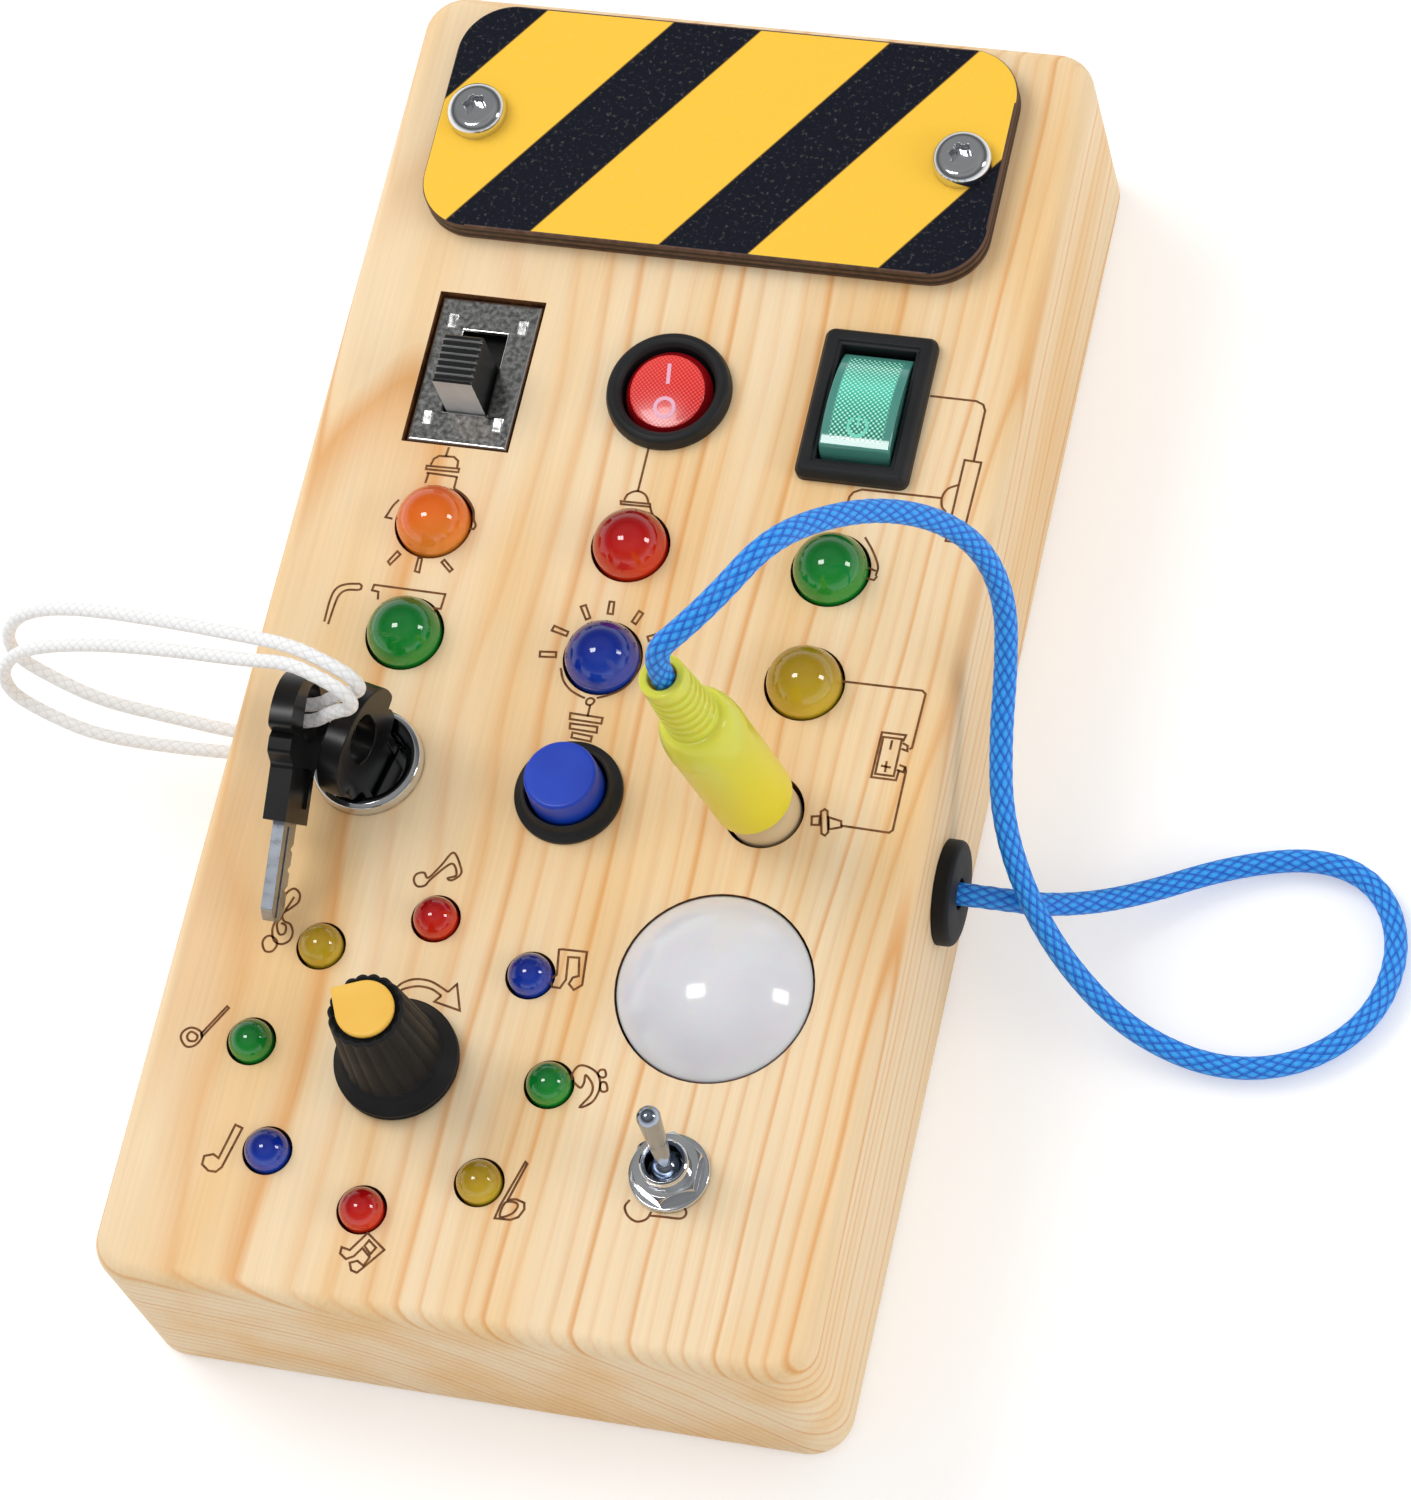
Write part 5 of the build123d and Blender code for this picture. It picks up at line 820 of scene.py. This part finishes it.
onLug = (np.abs(lugX) < slidePlate["lugHalf"][0]) & (np.abs(lugY) < slidePlate["lugHalf"][1])
high += onLug * slidePlate["lugRise"] * (lugY + slidePlate["lugHalf"][1]) / 2 / slidePlate["lugHalf"][1]
sheet = gridFaces(len(across), len(along), False, False)
sheet = sheet[(toSlot.ravel()[sheet] >= -slidePlate["step"] / 2).all(axis=1)]
platePoints = np.stack([px + boardPlaces["slide"][0], py + boardPlaces["slide"][1],
                        high], 2).reshape(-1, 3) * mm
used = np.unique(sheet)
platePiece = meshPiece("pressed_nickel_plate", platePoints[used],
                       np.searchsorted(used, sheet).tolist(), tidy=False)
sheetMetal = platePiece.modifiers.new("sheetMetal", "SOLIDIFY")
sheetMetal.thickness, sheetMetal.offset = slidePlate["thick"] * mm, -1
settle(platePiece, "board", "nickel", [nickel, tinEdgeHighlight], "slide_switch_plate")
# faces that are not flat take the lighter tin, a painted highlight on the rolled edges
finishByFace(platePiece, lambda normal, centre: np.abs(normal[:, 2]) < 0.97)
sliderPiece = dressed("slide_switch_knob", 0.1, 2, 35)
settle(sliderPiece, "slide_knob", "black_plastic", [sliderBlack, sliderFrontSheen], "slide_switch_knob")
# the face towards -y takes the light grey, a painted sheen
finishByFace(sliderPiece, lambda normal, centre: normal[:, 1] < -0.8)

# round rocker
roundBezel = softProfile([(6.2, 25.0), (6.2, 32.1, 0.25), (6.6, 32.7, 0.3), (7.2, 33.0, 0.5),
                          (8.0, 32.7, 0.7), (8.3, 31.6, 0.4), (8.3, 31.0), (7.3, 31.0), (7.3, 16.0, 0.3),
                          (0, 16.0), (0, 25.0), (6.2, 25.0)])
settle(turnedPiece("round_bezel", roundBezel, [(*boardPlaces["roundRocker"], 0)]), "board", "black_plastic",
       mattBlack, "round_rocker_bezel")
# red rocker, tipped: a domed disc of height 2.8 - r^2/80 over the pivot, on a wall that widens downwards
redDisc = {"top": 2.8, "drop": 80.0, "rim": 4.95, "foot": 5.85, "low": -1.2}
tipped = math.radians(9.0)
discRadii = np.linspace(0, redDisc["rim"] - 0.3, 12)
discProfile = np.concatenate([np.column_stack([discRadii, redDisc["top"] - discRadii**2 / redDisc["drop"]]),
                              softProfile([(redDisc["rim"] - 0.25, 2.53), (redDisc["rim"], 2.48, 0.2),
                                           (redDisc["foot"] - 0.05, 1.25, 0.2),
                                           (redDisc["foot"], redDisc["low"]), (0, redDisc["low"])])])
redPiece = turnedPiece("red_rocker_disc", discProfile, [(*boardPlaces["roundRocker"], rockerPivot)],
                       axis=(0, -math.sin(tipped), math.cos(tipped)), sides=96)
settle(redPiece, "red_rocker", "red_lens", [redRocker, redWall], "round_rocker")
finishByFace(redPiece, lambda normal, centre: normal[:, 2] < 0.75)


def framePiece(name, centre, half, corner, profile):
    # profile (offset, height) carried round a rectangle whose round corners shrink with the offset
    turn = np.radians(np.linspace(0, 90, 8))
    points = []
    for offset, height in profile:
        bend = max(corner + offset, 0.2)
        loop = [(sx * (half[0] + offset - bend) + bend * math.cos(t),
                 sy * (half[1] + offset - bend) + bend * math.sin(t))
                for sx, sy, start in ((1, 1, 0), (-1, 1, 90), (-1, -1, 180), (1, -1, 270))
                for t in turn + math.radians(start)]
        points.append([(centre[0] + x, centre[1] + y, height) for x, y in loop])
    points = np.array(points).transpose(1, 0, 2)
    faces = gridFaces(points.shape[0], points.shape[1], True, True)
    return meshPiece(name, points.reshape(-1, 3) * mm, faces.tolist())


greenFrame = softProfile([(0, 31.0), (0, 32.0, 0.3), (-0.5, 32.75, 0.3), (-0.95, 33.0, 0.3),
                          (-1.95, 33.0, 0.2), (-2.1, 32.65, 0.1), (-2.5, 32.6, 0.15), (-2.55, 25.0),
                          (-1.2, 25.0), (-1.2, 31.0), (0, 31.0)])
settle(framePiece("green_bezel", boardPlaces["greenRocker"], (7.5, 10.8), 1.3, greenFrame[:-1]), "board",
       "black_plastic", mattBlack, "green_rocker_bezel")
settle(dressed("green_rocker", 0.25, 3, 35), "clear_rocker", "clear_green_lens", greenRocker, "green_rocker")


def onCrown(centre, crownRadius, above, tilt):
    # a flat mark laid on a rocker's arched top, above - R + sqrt(R^2 - y^2) over the pivot, then tipped
    c, s = math.cos(math.radians(tilt)), math.sin(math.radians(tilt))

    def place(x, y):
        high = above - crownRadius + np.sqrt(crownRadius**2 - y**2) + 0.03
        return centre[0] + x, centre[1] + c * y - s * high, rockerPivot + s * y + c * high
    return place


turns = np.radians(np.linspace(0, 360, 24, endpoint=False))
circle = np.column_stack([np.cos(turns), np.sin(turns)])
roundMarks = [(0, 0, [(-0.05, 0.95), (-0.35, 3.75)]), (1, 0, (circle * 1.25 + [0.1, -2.25]).tolist())]
settle(ribbonPiece("round_rocker_marks", roundMarks, 0.5,
                   onCrown(boardPlaces["roundRocker"], 40.0, 2.8, 9.0)),
       "red_rocker", "red_lens", paleMark)
gap = np.radians(np.linspace(125, 415, 22))
standby = [(0, 0, (np.column_stack([np.cos(gap), np.sin(gap)]) * 1.25 + [0, -4.6]).tolist()),
           (0, 0, [(0, -4.5), (0, -3.1)])]
settle(ribbonPiece("green_rocker_mark", standby, 0.36, onCrown(boardPlaces["greenRocker"], 17.0, 4.4, -9.0)),
       "clear_rocker", "clear_green_lens", tealMark)
print("rockers made")

# push button
housing = softProfile([(5.32, 18.5), (5.32, 33.2, 0.15), (5.68, 33.2, 0.15), (5.95, 32.2, 0.5),
                       (6.5, 31.85, 0.5), (7.0, 31.6, 0.2), (7.0, 31.0), (5.9, 31.0), (5.9, 17.0, 0.3),
                       (0, 17.0), (0, 18.5), (5.32, 18.5)])
settle(turnedPiece("button_housing", housing, [(*boardPlaces["button"], 0)]), "board", "black_plastic",
       mattBlack, "push_button_housing")
cap = softProfile([(0, 36.84), (3.2, 36.9, 3.0), (4.65, 36.9, 0.5), (4.9, 33.0),
                   (4.9, 26.0, 0.3), (0, 26.0)], 8)
settle(turnedPiece("button_cap", cap, [(*boardPlaces["button"], 0)]), "button", "blue_plastic", blueAbs,
       "push_button_cap")

# key lock
lockRing = softProfile([(5.0, 11.0), (5.0, 31.6, 0.3), (5.3, 32.15, 0.3), (6.0, 32.75, 0.4),
                        (6.4, 33.0, 0.35), (7.05, 32.65, 0.35), (7.3, 31.8, 0.3), (7.3, 31.0), (5.9, 31.0),
                        (5.9, 9.5, 0.3), (0, 9.5), (0, 11.0), (5.0, 11.0)])
settle(turnedPiece("lock_ring", lockRing, [(*boardPlaces["lock"], 0)], sides=96), "board", "chrome", chrome,
       "lock_housing")
settle(dressed("lock_plug", 0.1, 2), "lock_key", "chrome", chrome, "lock_plug")
settle(dressed("lock_key_head", 0.3, 3, 35), "lock_key", "gloss_black", glossBlack, "lock_key_head")
settle(dressed("lock_key_blade", 0.08, 2, 35), "lock_key", "steel", steelBlade, "lock_key_blade")
settle(dressed("spare_key_head", 0.35, 3, 35), "spare_key", "gloss_black", glossBlack, "spare_key_head")
settle(dressed("spare_key_blade", 0.08, 2, 35), "spare_key", "steel", steelBlade, "spare_key_blade")

# selector knob
knobShape = {"flutes": 18, "depth": 0.32, "root": 6.15, "crown": 4.85, "foot": 34.9, "neck": 48.1}
knobLine = softProfile([(2.95, 44.0), (2.95, 33.6), (6.3, 33.6, 0.3), (6.3, 31.7, 0.2), (7.9, 31.7, 0.15),
                        (7.9, 32.1, 0.1), (7.75, 32.2, 0.05), (7.75, 32.35, 0.05), (7.9, 32.45, 0.1),
                        (7.9, 33.0, 0.25), (7.65, 33.2, 0.2), (6.5, 34.5, 0.3),
                        (6.2, 34.7, 0.2), (6.2, 34.9)])
knobBody = np.column_stack([np.linspace(knobShape["root"], knobShape["crown"], 26),
                            np.linspace(knobShape["foot"], knobShape["neck"], 26)])
knobTop = softProfile([(4.85, 48.15), (4.75, 48.7, 0.25), (4.35, 48.7, 0.1), (4.3, 48.5), (0, 48.5)], 6)
knobProfile = np.concatenate([[(0, 44.0)], knobLine, knobBody, knobTop])


def fluted(radius, height, turn):
    # eighteen rounded lobes: radius less depth*(1 - |sin(9 turn)|^0.8), fading in above the skirt
    lobe = np.abs(np.sin(knobShape["flutes"] / 2 * turn)) ** 0.8
    outside = np.clip((height - knobShape["foot"]) / 0.3, 0, 1) * np.clip((radius - 3.8) / 0.7, 0, 1)
    return radius - knobShape["depth"] * (1 - lobe) * outside


knob = turnedPiece("fluted_knob", knobProfile, [(*boardPlaces["ring"], 0)], sides=360, radiusAt=fluted)
settle(knob, "selector", "black_plastic", charcoal, "selector_knob")
settle(dressed("knob_pointer_cap", 0.1, 2), "selector", "yellow_plastic", yellowAbs, "knob_pointer_cap")
print("switches made")

# night-light dome: a cap of a ball whose radius = (R^2 + rise^2)/(2*rise)
domeRise, domeRadius = 6.2, 12.3
ball = (domeRadius**2 + domeRise**2) / (2 * domeRise)
lean = np.linspace(0, math.asin(domeRadius / ball), 30)
domeNose = np.column_stack([ball * np.sin(lean), face + domeRise - ball + ball * np.cos(lean)])
domeFoot = softProfile([(domeRadius, 30.6), (domeRadius, 24.0), (13.7, 24.0, 0.3),
                        (13.7, 22.8, 0.3), (0, 22.8)])
settle(turnedPiece("opal_dome", np.concatenate([domeNose, domeFoot]), [(*boardPlaces["dome"], 0)],
                   sides=96), "board", "opal", opal, "night_light_dome")

# toggle switch
toggleAt = (*boardPlaces["toggle"], 0)
mouth = [(2.35, 29.7), (2.35, 35.3, 0.1), (2.75, 35.6, 0.1)]
ridges = []
for k in range(9):                                  # thread turns, from the mouth down to the nut and below
    top = 35.35 - 0.62 * k
    ridges += [(3.05, top - 0.1), (3.05, top - 0.2), (2.8, top - 0.42), (2.8, top - 0.5)]
bushing = softProfile(mouth + [(3.0, 35.4, 0.1)] + ridges + [(3.05, 29.5), (3.05, 20.5),
                                                             (0, 20.5), (0, 29.7), (2.35, 29.7)])
settle(turnedPiece("threaded_bushing", bushing, [toggleAt]), "board", "chrome", chrome, "toggle_bushing")
washer = softProfile([(3.15, 31.0), (3.15, 31.8, 0.1), (5.1, 31.8, 0.25), (5.1, 31.0), (3.15, 31.0)])
settle(turnedPiece("washer", washer, [toggleAt]), "board", "chrome", chrome, "toggle_washer")
settle(dressed("toggle_nut", 0.12, 3, 25), "board", "chrome", chrome, "toggle_nut")
bat = {"heading": 15.0, "throw": 12.5, "pivot": 33.2, "tip": 1.5, "reach": 11.1,
       "waist": (1.22, 6.0), "ball": 2.0}
heading, throw = math.radians(bat["heading"]), math.radians(bat["throw"])
leverAxis = np.array([-math.sin(heading) * math.sin(throw), math.cos(heading) * math.sin(throw),
                      math.cos(throw)])
rise, down = np.radians(np.linspace(90, 0, 14)), np.radians(np.linspace(60, -90, 24))
# a half-round tip, an even waist, and the ball that rocks in the mouth: radius*(cos, sin) at both ends
lever = np.concatenate([
    np.column_stack([bat["tip"] * np.cos(rise), bat["reach"] + bat["tip"] * np.sin(rise)]), [bat["waist"]],
    np.column_stack([bat["ball"] * np.cos(down), bat["ball"] * np.sin(down)])])
settle(turnedPiece("toggle_bat", lever, [np.array([*boardPlaces["toggle"], bat["pivot"]])], axis=leverAxis,
                   sides=48), "toggle", "chrome", batSteel, "toggle_lever")
print("dome and toggle made")

# plug and grommet
tipProfile = softProfile([(0, 3.9), (4.6, 3.9), (4.6, -2.0, 0.3), (1.7, -2.0), (1.7, -9.0, 0.5), (0, -9.0)])
settle(turnedPiece("plug_collar", tipProfile, [plugMouth], axis=plugAxis), "cord_plug",
       "beige_plastic", beigeNylon, "plug_tip")
sleeve = {"radius": 5.25, "low": 3.9, "shoulder": 22.5, "foot": 27.2, "end": 38.4, "footRadius": 3.5,
          "endRadius": 2.95, "ribs": 6, "ribDepth": 0.3, "socket": 1.85}
# shoulder: a quarter ellipse, its radius carried by cos(turn)^0.9; neck: an even taper with sunk rings
turn = np.radians(np.linspace(0, 90, 16))
shoulder = np.column_stack([
    sleeve["footRadius"] + (sleeve["radius"] - sleeve["footRadius"]) * np.maximum(np.cos(turn), 0) ** 0.9,
    sleeve["shoulder"] + (sleeve["foot"] - sleeve["shoulder"]) * np.sin(turn)])
up = np.linspace(sleeve["foot"] + 0.1, sleeve["end"] - 0.5, 130)
taper = sleeve["footRadius"] + (up - sleeve["foot"]) / (sleeve["end"] - sleeve["foot"]) * (
    sleeve["endRadius"] - sleeve["footRadius"])
ribPlace = (up - sleeve["foot"] - 1.0) / (sleeve["end"] - sleeve["foot"] - 2.4) * sleeve["ribs"]
sunk = (np.clip((np.abs(ribPlace % 1 - 0.425) * -1 + 0.32) / 0.13, 0, 1)
        * ((ribPlace > 0) & (ribPlace < sleeve["ribs"])))
neck = np.column_stack([taper - sleeve["ribDepth"] * sunk * sunk * (3 - 2 * sunk), up])
plugProfile = np.concatenate([softProfile([(0, sleeve["low"]), (sleeve["radius"], sleeve["low"], 0.45),
                                           (sleeve["radius"], sleeve["low"] + 3.0)]),
                              [(sleeve["radius"], 21.6), (sleeve["radius"] + 0.06, 21.9),
                               (sleeve["radius"], 22.2)], shoulder, neck,
                              softProfile([(2.97, 38.0), (sleeve["endRadius"], sleeve["end"], 0.3),
                                           (sleeve["socket"], sleeve["end"], 0.3),
                                           (sleeve["socket"], 35.4), (0, 35.4)])])
plugPiece = turnedPiece("plug_sleeve", plugProfile, [plugMouth], axis=plugAxis, sides=96)
settle(plugPiece, "cord_plug", "lime_plastic", limePvc, "plug_body")
grommet = softProfile([(1.5, -8.0), (1.5, 1.6), (2.0, 1.6), (2.0, 2.2, 0.2), (6.8, 2.2, 0.8),
                       (6.8, 0.0, 0.1), (4.4, 0.0), (4.4, -8.0), (1.5, -8.0)])
settle(turnedPiece("rubber_grommet", grommet, [boardPlaces["grommet"]], axis=(1, 0, 0)), "board",
       "black_rubber", rubber, "cord_grommet")

# knots
knotSize = {"deep": 1.8, "wide": 2.6, "high": 3.0}
along = np.linspace(0, 1, 30)                   # radius sin(pi*a)^0.35 at a share a of the knot's depth
knotProfile = np.column_stack([
    np.concatenate([[0], np.sin(np.pi * np.clip(along, 0.02, 0.98)) ** 0.35, [0]]),
    np.concatenate([[0], knotSize["deep"] * along, [knotSize["deep"]]])])


def wound(radius, height, turn):
    # an oval core, radius = 1/sqrt((cos/high)^2 + (sin/wide)^2), and string round it as a shallow |sin| helix
    oval = 1 / np.sqrt((np.cos(turn) / knotSize["high"])**2 + (np.sin(turn) / knotSize["wide"])**2)
    return radius * oval * (1 - 0.14 * np.abs(np.sin(1.5 * np.pi * height / knotSize["deep"] + turn / 2)))


knot = turnedPiece("string_knot", knotProfile, [np.array([-34.8, -20.0, 42.85])],
                   axis=(-1, 0, 0), radiusAt=wound)
settle(knot, "spare_key", "white_braid", whiteBraid, "key_cord_knot")

# inner pieces keep their CAD shape
inner = {"slide_switch_case": innerPlastic, "push_button_spring": brass, "push_button_nut": zinc,
         "lock_nut": zinc, "rotary_switch_body": innerPlastic, "rotary_switch_nut": chrome,
         "knob_shaft": zinc, "night_light_board": circuitBoard, "toggle_case": innerPlastic,
         "plug_socket": innerPlastic, "circuit_board": circuitBoard, "board_posts": innerPlastic,
         "battery_box": innerPlastic, "battery_cells": cellJacket, "battery_contacts": brass,
         "battery_door": mattBlack, "battery_door_screw": zinc, "back_panel_screws": zinc,
         "key_cord_stop_knot": whiteBraid}
for name, finish in inner.items():
    if not nodes[name].data.materials:
        nodes[name].data.materials.append(finish)
    nodes[name].material_slots[0].material = finish
print("inner pieces finished")

# the cords' lines sampled once more; the points are not kept
smoothRoute("blueLine", blueRoute).tolist()
for piece, route, size in ((firstPiece, firstRoute, firstLength), (secondPiece, secondRoute, secondLength)):
    smoothRoute("keyLine", route).tolist()

# floor, world and lights
studio = {"floorGrey": "#F2F2F2", "lift": 0.28}
corners = np.array([(-6, -6, 0), (6, -6, 0), (6, 6, 0), (-6, 6, 0)], float)
floor = meshPiece("floor", corners - [0, 0, 0.0002], [(0, 1, 2, 3)], smooth=False, tidy=False)
floorFinish, tree, shader = newFinish("matt_white_floor", Base_Color=studio["floorGrey"], Roughness=0.9)
rays = addNode(tree, "LightPath")
seen = addNode(tree, "Math MAXIMUM", {}, {
    0: rays.outputs["Is Camera Ray"],
    1: addNode(tree, "Math MAXIMUM", {}, {0: rays.outputs["Is Glossy Ray"],
                                          1: rays.outputs["Is Transmission Ray"]})})
lift = addNode(tree, "Emission", {"Color": (1, 1, 1, 1)}, {
    "Strength": addNode(tree, "Math MULTIPLY", {1: studio["lift"]}, {0: seen})})
both = addNode(tree, "AddShader", {}, {0: shader, 1: lift})
tree.links.new(both.outputs[0], tree.nodes["Material Output"].inputs["Surface"])
floor.data.materials.append(floorFinish)

world = bpy.data.worlds.new("studio")
bpy.context.scene.world = world
world.use_nodes = True
tree = world.node_tree
rays = addNode(tree, "LightPath")
seen = addNode(tree, "Math MAXIMUM", {}, {
    0: rays.outputs["Is Camera Ray"], 1: rays.outputs["Is Transmission Ray"]})
heading = addNode(tree, "SeparateXYZ", {}, {0: addNode(tree, "TexCoord").outputs["Generated"]})
# an even bright room for matt surfaces; shiny ones mirror a dimmer ceiling above a light horizon
room = addNode(tree, "ValToRGB", {"stops": [(0.0, "#A8A8A8"), (0.3, "#C0C0C0"), (0.6, "#D6D6D6"),
                                            (0.85, "#E8E8E8"), (1.0, "#DCDCDC")]}, {0: heading.outputs[2]})
mirrored = addNode(tree, "ValToRGB", {"stops": [(0.0, "#F4F4F4"), (0.22, "#F0F0F0"), (0.36, "#8E8E8E"),
                                                (0.6, "#5A5A5A"), (0.82, "#8C8C8C"), (0.92, "#9A9A9A"),
                                                (1.0, "#8A8A8A")]}, {0: heading.outputs[2]})
sides = addNode(tree, "Mix", {"data_type": "RGBA"}, {0: rays.outputs["Is Glossy Ray"], 6: room, 7: mirrored})
dim = addNode(tree, "Background", {"Strength": 1.0}, {"Color": sides.outputs[2]})
white = addNode(tree, "Background", {"Color": (1, 1, 1, 1), "Strength": 1.0})
mixed = addNode(tree, "MixShader", {}, {0: seen, 1: dim, 2: white})
tree.links.new(mixed.outputs[0], tree.nodes["World Output"].inputs["Surface"])


def softLight(name, place, size, power, diffuse=True, glossy=True):
    # a rectangular lamp aimed at the origin; matt and shiny surfaces can each be kept from seeing it
    data = bpy.data.lights.new(name, "AREA")
    data.shape, data.size, data.size_y, data.energy = "RECTANGLE", size[0], size[1], power
    light = bpy.data.objects.new(name, data)
    bpy.context.scene.collection.objects.link(light)
    light.location = place
    light.rotation_mode = "QUATERNION"
    light.rotation_quaternion = Vector(place).to_track_quat("Z", "Y")
    light.visible_diffuse, light.visible_glossy = diffuse, glossy


softLight("keyLight", (-0.85, 0.4, 1.05), (0.8, 0.8), 7.6, glossy=False)
softLight("fillRight", (1.4, -0.15, 0.5), (0.9, 0.7), 5.0, glossy=False)
softLight("windowLeft", (-0.388, -0.07, 1.238), (0.26, 0.36), 3.2, diffuse=False)
softLight("windowRight", (1.094, 0.235, 0.662), (0.24, 0.34), 2.6, diffuse=False)
settings = bpy.context.scene.view_settings
settings.view_transform = "Standard"
print("studio made")
